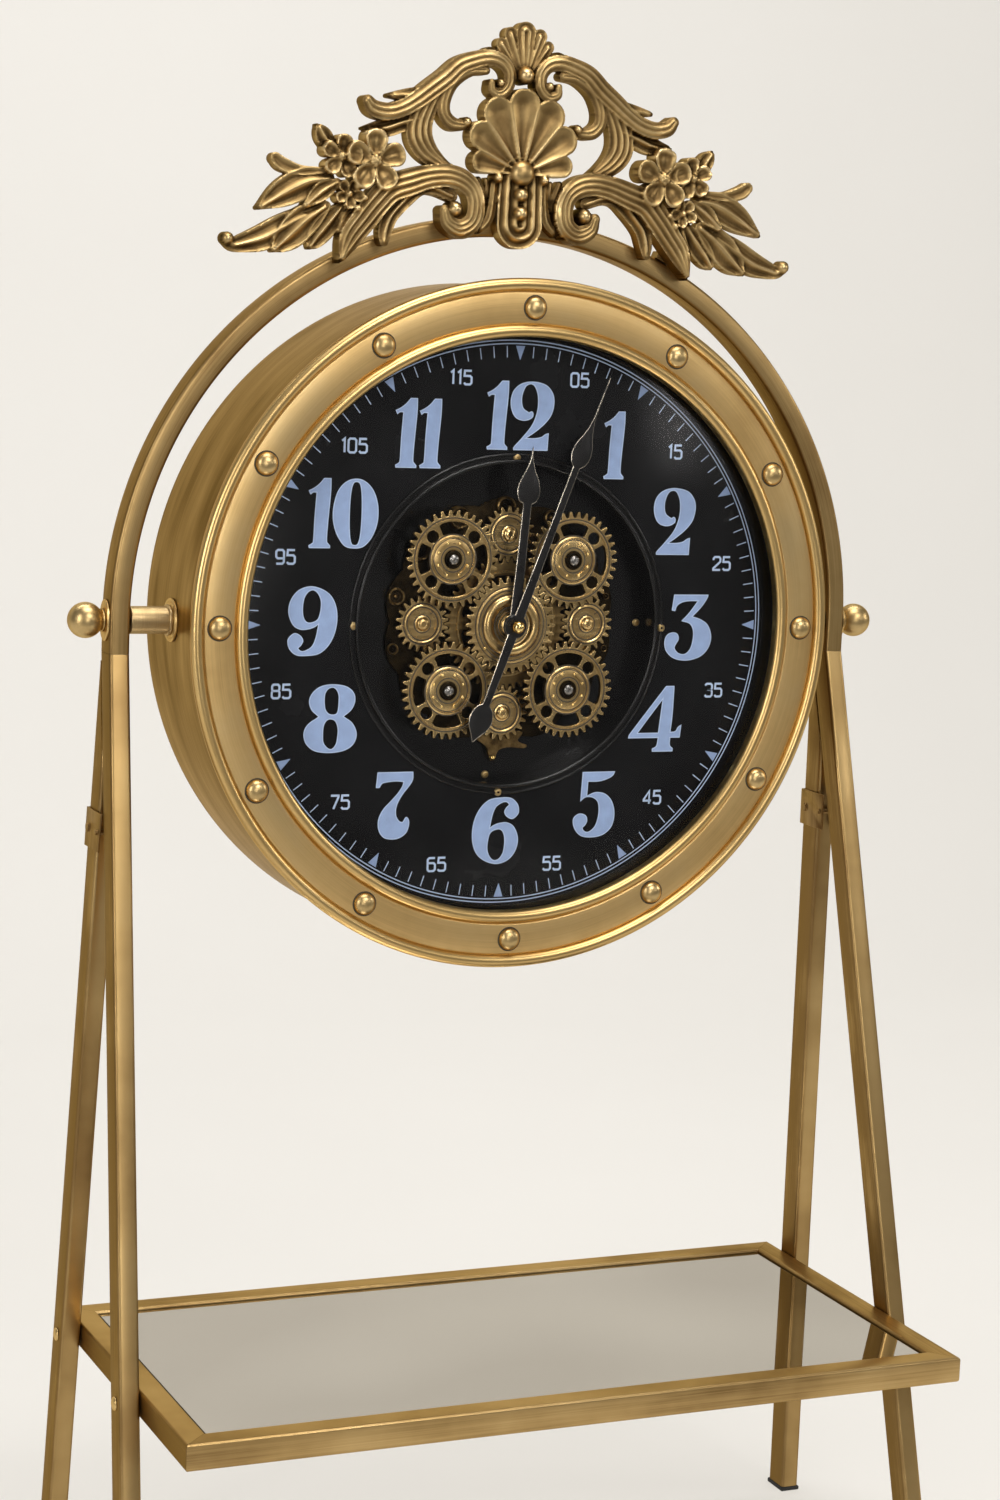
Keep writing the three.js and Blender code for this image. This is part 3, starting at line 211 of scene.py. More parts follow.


# %% [markdown]
# The stand, drum and bezel are plated steel in an antique brass: warm, half matt, with brushing
# lines and faint darker clouds where the lacquer was wiped on. One function makes every such
# finish, and its arguments say how dark the clouds are and how fine the lines. The sides of the
# tubes are painted a little darker than their fronts: this is painted shade.

# %% Brushed brass
def brushed_brass(
    name, dark, middle, bright, rough,
    lines=1800, clouds=7.0, line_share=0.35, relief=0.12, streaks=0.35, sides=0.0,
):
    material = new_material(name)
    cloud = object_noise(material, clouds, 4.0, 0.6)
    patina = blend(material, cloud, grain_lines(material, 42), streaks)
    grain = blend(material, grain_lines(material, lines), grain_lines(material, lines * 0.22), 0.5)
    mix = blend(material, patina, grain, line_share)
    # Painted shade: faces that turn left or right are made darker by the share given in sides.
    if sides:
        normal = node(material, "ShaderNodeTexCoord").outputs["Normal"]
        facing = node(material, "ShaderNodeSeparateXYZ", {0: normal}).outputs["X"]
        side_shade = arithmetic(material, "ABSOLUTE", facing)
        mix = arithmetic(material, "SUBTRACT", mix, arithmetic(material, "MULTIPLY", side_shade, sides))
    colour = ramp(material, mix, [(0.36, dark), (0.5, middle), (0.66, bright)])
    roughness = level(material, mix, 0.35, 0.65, rough[1], rough[0])
    principled(material, 1.0, colour, roughness, bump(material, grain, relief, 0.0006))
    return material


# The tubes get painted shade on their sides.
tube_brass = brushed_brass(
    "tube_brass", (0.23, 0.14, 0.052), (0.45, 0.30, 0.122), (0.60, 0.42, 0.19), (0.28, 0.42), sides=0.15,
)
drum_brass = brushed_brass(
    "drum_brass", (0.17, 0.10, 0.038), (0.29, 0.185, 0.077), (0.46, 0.31, 0.14), (0.28, 0.42),
    clouds=5.0, streaks=0.7,
)
band_brass = brushed_brass(
    "band_brass", (0.50, 0.33, 0.13), (0.66, 0.45, 0.19), (0.76, 0.55, 0.26), (0.34, 0.48),
    clouds=9.0, streaks=0.1,
)
bead_brass = brushed_brass(
    "bead_brass", (0.54, 0.36, 0.14), (0.63, 0.43, 0.175), (0.70, 0.50, 0.22), (0.29, 0.35),
    lines=900, line_share=0.2, relief=0.0,
)
gear_brass = brushed_brass(
    "gear_brass", (0.25, 0.16, 0.06), (0.54, 0.37, 0.155), (0.76, 0.56, 0.27), (0.20, 0.36),
    clouds=55.0, lines=2400,
)
rear_brass = brushed_brass(
    "rear_brass", (0.10, 0.062, 0.022), (0.23, 0.15, 0.058), (0.36, 0.25, 0.105), (0.26, 0.42),
    clouds=55.0, lines=2400,
)
sleeve_brass = brushed_brass(
    "sleeve_brass", (0.34, 0.24, 0.115), (0.46, 0.34, 0.175), (0.57, 0.445, 0.255), (0.38, 0.46),
    clouds=30.0, lines=3000,
)
print("brass finishes", len(bpy.data.materials))

# %% [markdown]
# The other finishes are plainer: steel axles, black paint on the dial, a pale blue-grey print,
# dark rubber for the feet, and small polished or cast pieces of brass.

# %% Plain finishes
def painted(name, colour, rough, clouds=30.0, depth=0.15, relief=0.1, gloss=0.5):
    material = new_material(name)
    patch = object_noise(material, clouds, 4.0)
    dark = tuple(c * (1 - depth) for c in colour)
    pale = tuple(min(1, c * (1 + depth)) for c in colour)
    others = bump(material, object_noise(material, 900.0, 2.0), relief, 0.0002)
    others["Specular IOR Level"] = gloss
    roughness = level(material, patch, 0.3, 0.7, rough - 0.05, rough + 0.05)
    principled(material, 0.0, ramp(material, patch, [(0.3, dark), (0.7, pale)]), roughness, others)
    return material


def scratched_metal(name, dark, bright, rough, scale=160.0, relief=0.15):
    material = new_material(name)
    patch = object_noise(material, scale, 5.0, 0.65)
    colour = ramp(material, patch, [(0.35, dark), (0.62, bright)])
    roughness = level(material, patch, 0.3, 0.7, rough + 0.1, rough)
    principled(material, 1.0, colour, roughness, bump(material, patch, relief, 0.0004))
    return material


dial_black = painted("dial_black", (0.006, 0.006, 0.0065), 0.24, 14.0, 0.3, 0.0, 0.15)
well_black = painted("well_black", (0.004, 0.0038, 0.0038), 0.2, 20.0, 0.3, 0.0, 0.35)
hand_black = painted("hand_black", (0.008, 0.0075, 0.0075), 0.30, 60.0, relief=0.03, gloss=0.3)
print_blue = painted("print_blue", (0.26, 0.35, 0.55), 0.55, 120.0, 0.07, 0.02, 0.3)
print_pale = painted("print_pale", (0.42, 0.52, 0.70), 0.5, 120.0, 0.05, 0.02, 0.3)
foot_black = painted("foot_black", (0.02, 0.02, 0.02), 0.75, 200.0)
case_black = painted("case_black", (0.018, 0.018, 0.019), 0.5, 200.0)
back_paint = painted("back_paint", (0.045, 0.036, 0.026), 0.45, 40.0, 0.25, 0.4)
steel = scratched_metal("steel", (0.10, 0.093, 0.085), (0.33, 0.315, 0.295), 0.24)
bronze = scratched_metal("bronze", (0.05, 0.03, 0.011), (0.25, 0.16, 0.062), 0.36, 90.0)
polished_brass = scratched_metal("polished_brass", (0.62, 0.42, 0.14), (0.80, 0.60, 0.25), 0.12, 60.0)
satin_brass = scratched_metal("satin_brass", (0.45, 0.315, 0.135), (0.56, 0.405, 0.19), 0.31, 40.0, 0.02)
# Painted shade for the sideways walls of gear teeth and windows.
gear_wall = scratched_metal("gear_wall", (0.05, 0.03, 0.01), (0.13, 0.085, 0.032), 0.45, 120.0)
casting_black = scratched_metal("casting_black", (0.004, 0.003, 0.002), (0.03, 0.02, 0.009), 0.4, 60.0)
# Dark lines: painted shade in thin rings on the gears and round the rivets, and also the mirror's dark edge
# and the small gears' marks.
dark_line = painted("dark_line", (0.045, 0.032, 0.016), 0.6, 200.0)
hand_edge = scratched_metal("hand_edge", (0.42, 0.37, 0.30), (0.66, 0.60, 0.50), 0.2, 60.0)
print("finishes", len(bpy.data.materials))

# %% [markdown]
# The crown is cast and has dark patina in its hollows and worn, bright ridges. Its mesh says in an
# attribute, "relief", how far each point stands above its surroundings.

# %% Cast brass
cast_brass = new_material("cast_brass")
carving = level(cast_brass, attribute(cast_brass, "relief"), -2.4, 1.9, 0.0, 0.9)
patch = object_noise(cast_brass, 38.0, 4.0, 0.6)
wear = arithmetic(cast_brass, "ADD", carving, level(cast_brass, patch, 0.3, 0.7, -0.09, 0.09))
colour = ramp(cast_brass, wear, [
    (0.18, (0.045, 0.026, 0.009)), (0.42, (0.20, 0.125, 0.048)),
    (0.62, (0.40, 0.275, 0.115)), (0.85, (0.68, 0.50, 0.25)),
])
pitting = bump(cast_brass, object_noise(cast_brass, 420.0, 3.0, 0.6), 0.22, 0.0004)
principled(cast_brass, 1.0, colour, level(cast_brass, wear, 0.3, 0.85, 0.5, 0.32), pitting)

# %% [markdown]
# The shelf is a smoky mirror. The glass bends what is seen through it and has a soft shine. Glass in
# a closed shell would keep the lamps off the dial, so rays that come from a lamp, from a matt
# surface or from a mirror pass it as if it were air.

# %% Mirror and glass
mirror = new_material("mirror")
haze = ramp(mirror, object_noise(mirror, 2.4, 1.0), [(0.4, (0.53, 0.50, 0.45)), (0.6, (0.63, 0.60, 0.545))])
smudge = level(mirror, object_noise(mirror, 7.0, 3.0), 0.3, 0.7, 0.015, 0.045)
principled(mirror, 1.0, haze, smudge, {"Specular Tint": (0.86, 0.84, 0.80, 1)})

GLASS_BENDING = 1.2
glass = new_material("glass")
bend = node(glass, "ShaderNodeBsdfRefraction", {"IOR": GLASS_BENDING, "Roughness": 0.0}).outputs["BSDF"]
shine = node(glass, "ShaderNodeBsdfAnisotropic", {"Roughness": 0.13}).outputs["BSDF"]
pane = mixed(glass, node(glass, "ShaderNodeFresnel", {"IOR": GLASS_BENDING}).outputs[0], bend, shine)
air = node(glass, "ShaderNodeBsdfTransparent").outputs["BSDF"]
rays = node(glass, "ShaderNodeLightPath").outputs
passing = arithmetic(glass, "MAXIMUM", rays["Is Shadow Ray"], rays["Is Diffuse Ray"])
bounced = arithmetic(glass, "SUBTRACT", rays["Is Glossy Ray"], rays["Is Transmission Ray"])
surface(glass, mixed(glass, arithmetic(glass, "MAXIMUM", passing, bounced), pane, air))
print("mirror and glass made")

# %% [markdown]
# ## Making meshes
# Most pieces of a clock are turned: a profile goes round an axis. The rest are bars and plates with
# softened edges. A true edge is never knife sharp, and the thin bright line that it catches is what
# makes metal look like metal, so plates are copied from the CAD and bevelled.

# %% Turned pieces and grain
def outward(mesh):
    """Merges doubled points and turns every face to the outside."""
    work = bmesh.new()
    work.from_mesh(mesh)
    bmesh.ops.remove_doubles(work, verts=work.verts, dist=1e-6)
    bmesh.ops.recalc_face_normals(work, faces=work.faces)
    work.to_mesh(mesh)
    work.free()


def new_piece(name, points, faces, material, sharp=35):
    mesh = bpy.data.meshes.new(name)
    mesh.from_pydata([tuple(point) for point in points], [], faces)
    outward(mesh)
    mesh.materials.append(material)
    mesh.shade_smooth()
    mesh.set_sharp_from_angle(angle=math.radians(sharp))
    return shown(name, mesh)


def grain_round(piece, axis="Y", centre=(0, 0, 0)):
    """Brushing lines that run round an axis: the distance across them is radius plus height."""
    middle = placed(*centre)
    lone = "XYZ".index(axis)
    values = []
    for vertex in piece.data.vertices:
        offset = vertex.co - middle
        height = offset[lone]
        offset[lone] = 0
        values.append(offset.length + height)
    store_across(piece, values)


def grain_along(piece, direction):
    """Brushing lines that run along a direction."""
    run = Vector(direction).normalized()
    first = run.orthogonal().normalized()
    second = run.cross(first)
    store_across(piece, [v.co.dot(first) + v.co.dot(second) for v in piece.data.vertices])


def store_across(piece, values):
    mesh = piece.data
    stored = mesh.attributes.get("across") or mesh.attributes.new("across", "FLOAT", "POINT")
    stored.data.foreach_set("value", values)


def turned(name, profile, material, sides=192, axis="Y", centre=(0, 0, 0), sharp=35):
    """Turns a profile of (radius, place along the axis), in millimetres, into a closed piece."""
    points, faces, rings = [], [], []
    for radius, along in profile:
        start = len(points)
        count = 1 if radius == 0 else sides
        for i in range(count):
            angle = 2 * math.pi * i / sides
            a, b = radius * math.sin(angle), radius * math.cos(angle)
            local = (a, along, b) if axis == "Y" else (along, a, b)
            points.append(placed(*(c + l for c, l in zip(centre, local))))
        rings.append((start, count))
    closing = [] if profile[0][0] == 0 and profile[-1][0] == 0 else [(rings[-1], rings[0])]
    for (first, count_a), (second, count_b) in list(zip(rings, rings[1:])) + closing:
        for i in range(sides):
            j = (i + 1) % sides
            if count_a == 1 and count_b == 1:
                break
            if count_a == 1:
                faces.append((first, second + i, second + j))
            elif count_b == 1:
                faces.append((first + i, second, first + j))
            else:
                faces.append((first + i, second + i, second + j, first + j))
    piece = new_piece(name, points, faces, material, sharp)
    grain_round(piece, axis, centre)
    return piece


def arc(centre_radius, centre_along, size, start, end, steps):
    """Points of a round edge in a profile, with its angles in degrees from outwards to forwards."""
    turns = [math.radians(start + (end - start) * i / steps) for i in range(steps + 1)]
    return [(centre_radius + size * math.cos(t), centre_along - size * math.sin(t)) for t in turns]


# %% [markdown]
# Several meshes become one piece by joining, and each piece is then tied to its body, and the CAD
# nodes that it stands in for are hidden.

# %% Joining and naming
def joined(name, pieces):
    """Several pieces as one mesh."""
    first = pieces[0]
    chosen = {"active_object": first, "selected_editable_objects": pieces, "selected_objects": pieces}
    with bpy.context.temp_override(**chosen):
        bpy.ops.object.join()
    first.name = name
    first.data.name = name
    return first


def belongs(piece, body, slot, *nodes):
    """Ties a piece to its body and hides the CAD nodes that it shows; slot is not used."""
    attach(piece, body)
    if nodes:
        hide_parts(*nodes)


# %% [markdown]
# Plain plates and boxes get a bevel on their edges, and the bevel is worked out into the mesh.

# %% Softened boxes and copies of CAD nodes
def settled(piece):
    """The piece with its modifiers worked out into a plain mesh."""
    graph = bpy.context.evaluated_depsgraph_get()
    shape = piece.evaluated_get(graph)
    mesh = bpy.data.meshes.new_from_object(shape, preserve_all_data_layers=True, depsgraph=graph)
    piece.modifiers.clear()
    old = piece.data
    piece.data = mesh
    mesh.name = piece.name
    bpy.data.meshes.remove(old)
    return piece


def rounded_edges(piece, width, segments=3, angle=28):
    bevel = piece.modifiers.new("soft edges", "BEVEL")
    bevel.width = width * MM
    bevel.segments = segments
    bevel.limit_method = "ANGLE"
    bevel.angle_limit = math.radians(angle)
    bevel.harden_normals = segments > 1
    return settled(piece)


def softened_box(across, deep, tall, width, material):
    """A box about the origin with rounded edges."""
    work = bmesh.new()
    bmesh.ops.create_cube(work, size=1)
    bmesh.ops.scale(work, vec=Vector((across, deep, tall)) * MM, verts=work.verts)
    mesh = bpy.data.meshes.new("box")
    work.to_mesh(mesh)
    work.free()
    mesh.materials.append(material)
    mesh.shade_smooth()
    return rounded_edges(shown("box", mesh), width)


def softened(name, cad_node, material, width=0.8, segments=3, angle=28):
    """A copy of a CAD node with flat faces whose edges are rounded over."""
    mesh = frame["nodes"][cad_node].data.copy()
    mesh.name = name
    mesh.materials.clear()
    mesh.materials.append(material)
    work = bmesh.new()
    work.from_mesh(mesh)
    bmesh.ops.remove_doubles(work, verts=work.verts, dist=1e-6)
    bmesh.ops.dissolve_limit(work, angle_limit=math.radians(0.5), verts=work.verts, edges=work.edges)
    work.to_mesh(mesh)
    work.free()
    mesh.shade_smooth()
    return rounded_edges(shown(name, mesh), width, segments, angle)


# %% [markdown]
# Flat pieces that the CAD doesn't give finely enough are cut from an outline with holes. A flat
# curve does this well: it fills between its outlines, thickens the sheet and rounds its edges.

# %% Plates cut from outlines
def circle_outline(radius, x=0.0, z=0.0, sides=48):
    turns = [2 * math.pi * i / sides for i in range(sides)]
    return [(x + radius * math.cos(t), z + radius * math.sin(t)) for t in turns]


def cut_plate(name, outlines, front, back, material, edge=0.25, inset=0.0, edge_steps=2):
    """A sheet between two depths (mm) with rounded edges; an outline inside another is a hole."""
    curve = bpy.data.curves.new(name, "CURVE")
    curve.dimensions = "2D"
    curve.fill_mode = "BOTH"
    curve.extrude = (back - front) / 2 - edge
    curve.bevel_depth = edge
    curve.bevel_resolution = edge_steps
    curve.offset = -edge - inset
    for outline in outlines:
        spline = curve.splines.new("POLY")
        spline.points.add(len(outline) - 1)
        for point, (x, z) in zip(spline.points, outline):
            point.co = (x, z, 0, 1)
        spline.use_cyclic_u = True
    drawn = shown(name, curve)
    graph = bpy.context.evaluated_depsgraph_get()
    mesh = bpy.data.meshes.new_from_object(drawn.evaluated_get(graph))
    bpy.data.objects.remove(drawn)
    bpy.data.curves.remove(curve)
    for vertex in mesh.vertices:
        x, z, depth = vertex.co
        vertex.co = placed(x, (front + back) / 2 - depth, z)
    mesh.materials.clear()
    outward(mesh)
    mesh.name = name
    mesh.materials.append(material)
    mesh.shade_smooth()
    mesh.set_sharp_from_angle(angle=math.radians(30))
    return shown(name, mesh)


# %% [markdown]
# Two Geometry Nodes trees do what repeats: one sets copies of an item round a circle, and the other
# draws a section along a path. A piece that they make is worked out to a plain mesh.

# %% Tree helpers
def node_tree(name, inputs):
    """An empty tree with the inputs given and one geometry output, and its input sockets."""
    tree = bpy.data.node_groups.new(name, "GeometryNodeTree")
    for label, kind in inputs:
        tree.interface.new_socket(label, in_out="INPUT", socket_type="NodeSocket" + kind)
    tree.interface.new_socket("Geometry", in_out="OUTPUT", socket_type="NodeSocketGeometry")
    return tree, add(tree, "NodeGroupInput").outputs


def item_shape(tree, item):
    info = add(tree, "GeometryNodeObjectInfo", {"Object": item}, transform_space="ORIGINAL")
    return info.outputs["Geometry"]


def finish_tree(tree, shape, material):
    painted = add(tree, "GeometryNodeSetMaterial", {"Geometry": shape, "Material": material})
    add(tree, "NodeGroupOutput", {0: painted.outputs[0]})


def run_tree(name, tree, values):
    """A piece made by a node tree, worked out to a plain mesh."""
    holder = shown(name, bpy.data.meshes.new(name))
    modifier = holder.modifiers.new("nodes", "NODES")
    modifier.node_group = tree
    for item in tree.interface.items_tree:
        if item.in_out == "INPUT":
            modifier[item.identifier] = values[item.name]
    settled(holder)
    holder.data.shade_smooth()
    holder.data.set_sharp_from_angle(angle=math.radians(35))
    return holder


print("tree helpers ready")

# %% [markdown]
# The first tree turns each copy's number into an angle, and the angle into a place and a facing.

# %% Copies round a circle
copies_tree, given = node_tree("copies round a circle", [
    ("Item", "Object"), ("Count", "Int"), ("Radius", "Float"), ("Start", "Float"),
    ("Follow", "Float"), ("Centre", "Vector"), ("Finish", "Material"),
])


def step(kind, inputs=(), **settings):
    return add(copies_tree, kind, inputs, **settings).outputs[0]


def step_math(operation, *inputs):
    return step("ShaderNodeMath", enumerate(inputs), operation=operation)


share = step_math("DIVIDE", step("GeometryNodeInputIndex"), given["Count"])
angle = step_math("MULTIPLY_ADD", share, 2 * math.pi, given["Start"])
outwards = step("ShaderNodeCombineXYZ", {"X": step_math("SINE", angle), "Z": step_math("COSINE", angle)})
reach = step("ShaderNodeVectorMath", {0: outwards, "Scale": given["Radius"]}, operation="SCALE")
spot = step("ShaderNodeVectorMath", {0: reach, 1: given["Centre"]}, operation="ADD")
facing = step("ShaderNodeCombineXYZ", {"Y": step_math("MULTIPLY", angle, given["Follow"])})
spots = step("GeometryNodePoints", {"Count": given["Count"], "Position": spot})
item = item_shape(copies_tree, given["Item"])
instances = step("GeometryNodeInstanceOnPoints", {"Points": spots, "Instance": item, "Rotation": facing})
real = step("GeometryNodeRealizeInstances", {0: instances})
finish_tree(copies_tree, real, given["Finish"])


def copies(name, item, count, radius, material, start=0.0, follow=1.0, centre=(0, 0, 0)):
    """Copies of an item round a circle; the item is made about the origin, as it is at 12 o'clock."""
    values = {
        "Item": item, "Count": count, "Radius": radius * MM, "Start": math.radians(start),
        "Follow": follow, "Centre": tuple(placed(*centre)), "Finish": material,
    }
    made = run_tree(name, copies_tree, values)
    bpy.data.objects.remove(item)
    return made


def about_origin(piece, centre=(0, 0, 0)):
    """Moves a piece's mesh so that the place given becomes the origin."""
    piece.data.transform(Matrix.Translation(-placed(*centre)))
    return piece


# %% [markdown]
# The second tree makes curves of two lines and draws one along the other, with both ends closed.

# %% A section along a path
sweep_tree, given = node_tree("section along a path", [
    ("Path", "Object"), ("Section", "Object"), ("Finish", "Material"),
])
path, section = (
    add(sweep_tree, "GeometryNodeMeshToCurve", {"Mesh": item_shape(sweep_tree, given[label])}).outputs[0]
    for label in ("Path", "Section")
)
capped = {"Curve": path, "Profile Curve": section, "Fill Caps": True}
swept = add(sweep_tree, "GeometryNodeCurveToMesh", capped).outputs[0]
finish_tree(sweep_tree, swept, given["Finish"])
print("node trees", [tree.name for tree in bpy.data.node_groups])

# %% [markdown]
# ## The stand
# The stand is an arch of rectangular tube, 18 mm across and 28 mm deep with rounded corners. Under
# each pivot the arch ends and two legs begin: a front leg that leans forward and a rear leg that
# is nearly upright, with its top mitred against the front leg.

# %% Arch
ARCH_MIDDLE = 349.5
ARCH_DROP = 28
TUBE_ACROSS = 18
TUBE_DEEP = 28


def rounded_section(across, deep, corner=3.2, steps=5):
    """Points round a rectangle with rounded corners, in millimetres about its middle."""
    points = []
    for quarter, (sx, sy) in enumerate([(1, 1), (-1, 1), (-1, -1), (1, -1)]):
        for i in range(steps + 1):
            turn = math.radians(90 * (quarter + i / steps))
            x = sx * (across / 2 - corner) + corner * math.cos(turn)
            y = sy * (deep / 2 - corner) + corner * math.sin(turn)
            points.append((x, y))
    return points


def tube_faces(rings, count):
    """Faces of a closed tube whose points come ring by ring, with both ends filled."""
    faces = []
    for i in range(rings - 1):
        for j in range(count):
            k = (j + 1) % count
            faces.append((i * count + j, i * count + k, (i + 1) * count + k, (i + 1) * count + j))
    last = (rings - 1) * count
    return faces + [tuple(range(count)), tuple(range(last, last + count))]


def line_object(points, closed):
    mesh = bpy.data.meshes.new("line")
    last = len(points)
    edges = [(i, (i + 1) % last) for i in range(last if closed else last - 1)]
    mesh.from_pydata(points, edges, [])
    return shown("line", mesh)


arch_path = [placed(-ARCH_MIDDLE, 0, -ARCH_DROP), placed(-ARCH_MIDDLE, 0, -ARCH_DROP / 2)]
for i in range(193):
    turn = math.pi * i / 192
    arch_path.append(placed(-ARCH_MIDDLE * math.cos(turn), 0, ARCH_MIDDLE * math.sin(turn)))
arch_path += [placed(ARCH_MIDDLE, 0, -ARCH_DROP / 2), placed(ARCH_MIDDLE, 0, -ARCH_DROP)]
path_line = line_object(arch_path, closed=False)
section = [(x * MM, y * MM, 0) for x, y in rounded_section(TUBE_ACROSS, TUBE_DEEP)]
section_line = line_object(section, closed=True)
arch = run_tree("arch", sweep_tree, {"Path": path_line, "Section": section_line, "Finish": tube_brass})
outward(arch.data)
for line in (path_line, section_line):
    bpy.data.objects.remove(line)
values = []
for vertex in arch.data.vertices:
    offset = vertex.co - PIVOT
    across = math.hypot(offset.x, max(offset.z, 0)) if offset.z > 0 else abs(offset.x)
    values.append(across + offset.y)
store_across(arch, values)
belongs(arch, "stand", "brass", "arch_tube")
print("arch size", [round(side / MM, 1) for side in arch.dimensions])

# %% [markdown]
# Each leg is the same tube, sheared so that its ends stay level. Its foot wears a rubber cap.

# %% Legs
LEG_TOP = -28.3
LEG_FOOT = -875.7
SPLAY = 0.03445
FRONT_LEAN = 0.247
REAR_LEAN = -0.052
MITRE_START = 8


def leg(name, side, lean, node_name):
    """A sheared tube; the front of a rear leg is planed off against the back of the front leg."""
    section = rounded_section(TUBE_ACROSS, TUBE_DEEP)
    top = LEG_TOP if lean > 0 else LEG_TOP - MITRE_START
    levels = [top - (top - LEG_FOOT) * (i / 60) ** 1.5 for i in range(61)]
    points = []
    for z in levels:
        drop = LEG_TOP - z
        for x, y in section:
            leg_y = y - lean * drop
            if lean < 0:
                leg_y = max(leg_y, TUBE_DEEP / 2 + 0.3 - FRONT_LEAN * drop)
            points.append(placed(side * (ARCH_MIDDLE + SPLAY * drop) + x, leg_y, z))
    made = new_piece(name, points, tube_faces(len(levels), len(section)), tube_brass)
    grain_along(made, (-side * SPLAY, lean, 1))
    belongs(made, "stand", "brass", node_name)
    return made


for hand, side in HANDS:
    leg(hand + "_front_leg_tube", side, FRONT_LEAN, hand + "_front_leg")
    leg(hand + "_rear_leg_tube", side, REAR_LEAN, hand + "_rear_leg")
    for end in ("front", "rear"):
        foot = softened(f"{hand}_{end}_foot_cap", f"{hand}_{end}_foot", foot_black, 1.2)
        belongs(foot, "stand", "plastic", f"{hand}_{end}_foot")
print("legs and feet made")

# %% [markdown]
# A folded plate joins each pair of legs a hand's width above the middle. The shelf is a frame of
# square tube, mitred at its corners, with a smoky mirror let into it. Round-headed screws fix the
# shelf to the legs.

# %% Leg clips, shelf and screws
SHELF_TOP = -632
SHELF_WIDE = 722
SHELF_DEEP = 362
SHELF_FRONT = -290
RAIL = 23
RAIL_CORNER = 2.6


def rail(name, node_name, length, turn, x, y):
    """One side of the shelf frame: a square tube with both ends cut at 45 degrees."""
    section = [(a + RAIL / 2, b + RAIL / 2) for a, b in rounded_section(RAIL, RAIL, RAIL_CORNER)]
    points = []
    spin = Matrix.Rotation(math.radians(turn), 3, "Z")
    for share in (-1, -0.5, 0.5, 1):
        for depth, height in section:
            along = share * (length / 2 - depth - 0.15)
            spot = spin @ Vector((along, depth, height))
            points.append(placed(x + spot.x, y + spot.y, SHELF_TOP - RAIL + spot.z))
    made = new_piece(name, points, tube_faces(4, len(section)), tube_brass)
    grain_along(made, spin @ Vector((1, 0, 0)))
    belongs(made, "stand", "brass", node_name)


for place, length, turn, x, y in (
    ("front", SHELF_WIDE, 0, 0, SHELF_FRONT),
    ("back", SHELF_WIDE, 180, 0, SHELF_FRONT + SHELF_DEEP),
    ("left", SHELF_DEEP, -90, -SHELF_WIDE / 2, SHELF_FRONT + SHELF_DEEP / 2),
    ("right", SHELF_DEEP, 90, SHELF_WIDE / 2, SHELF_FRONT + SHELF_DEEP / 2),
):
    rail(f"shelf_{place}_tube", f"shelf_{place}_rail", length, turn, x, y)
shelf_glass = softened("shelf_glass", "shelf_mirror", mirror, 1.7, 1)
shelf_glass.data.shade_flat()
shelf_glass.data.materials.append(dark_line)
for face in shelf_glass.data.polygons:
    face.material_index = 0 if abs(face.normal.z) > 0.99 else 1
belongs(shelf_glass, "stand", "mirror", "shelf_mirror")


SCREW = 6
SCREW_RISE = 2.6
SCREW_TIP = 349.5
SCREW_SEAT = 9.3


def side_screw(name, face, side, y, z):
    """A round-headed screw through a leg, with its head on the leg's outer face."""
    profile = [(0, SCREW_TIP), (SCREW / 2, SCREW_TIP), (SCREW / 2, face), (SCREW, face)]
    for i in range(9):
        turn = math.radians(10 + 80 * i / 8)
        profile.append((SCREW * math.cos(turn), face + SCREW_RISE * math.sin(turn)))
    return turned(name, [(radius, side * x) for radius, x in profile], bead_brass, 32, "X", (0, y, z))


for hand, side in HANDS:
    clip = softened(hand + "_clip_plate", hand + "_leg_clip", drum_brass, 0.5, 2, 20)
    grain_along(clip, (0, 0, 1))
    belongs(clip, "stand", "brass", hand + "_leg_clip")
    for end, lean in (("front", FRONT_LEAN), ("rear", REAR_LEAN)):
        z = SHELF_TOP - RAIL / 2
        drop = LEG_TOP - z
        face = ARCH_MIDDLE + SPLAY * drop + SCREW_SEAT
        bolt = side_screw(f"{hand}_{end}_screw", face, side, -lean * drop, z)
        belongs(bolt, "stand", "brass", f"{hand}_{end}_shelf_bolt")
print("clips, shelf and screws made")

# %% [markdown]
# ## The drum
# The drum is a shallow brass tub, 600 mm across, brushed round its side. A riveted bezel closes the
# front: two polished beads with a sunk flat band between them, and a dome rivet at each hour.

# %% Drum shell
DRUM = 300
DRUM_INSIDE = 298.5
DRUM_FRONT = -64
DRUM_BACK = 75
BACK_EDGE = 2.5
SEAT = 250.5
SEAT_FRONT = -40.2
SEAT_BACK = -38.7
shell_profile = [(DRUM_INSIDE, DRUM_FRONT)]
shell_profile += [(DRUM, y) for y in (DRUM_FRONT, -40, 0, 40, 71.5)]
for turn in (0.0, 0.4, 0.8, 1.2, 1.57):
    out, back = BACK_EDGE * math.cos(turn), BACK_EDGE * math.sin(turn)
    shell_profile.append((DRUM - BACK_EDGE + out, DRUM_BACK - BACK_EDGE + back))
shell_profile += [(289.2, DRUM_BACK), (288.5, 74.3), (288.5, 73.5), (DRUM_INSIDE, 73.5)]
shell_profile += [(DRUM_INSIDE, SEAT_BACK), (SEAT, SEAT_BACK)]
shell_profile += [(SEAT, SEAT_FRONT), (DRUM_INSIDE, SEAT_FRONT)]
shell = turned("drum_tub", shell_profile, drum_brass, 256)
belongs(shell, "drum", "brass", "drum_shell")
print("drum shell size", [round(side / MM, 1) for side in shell.dimensions])

# %% [markdown]
# The bezel is turned in one go, beads and band together, and the faces of the band then get their
# own finish.

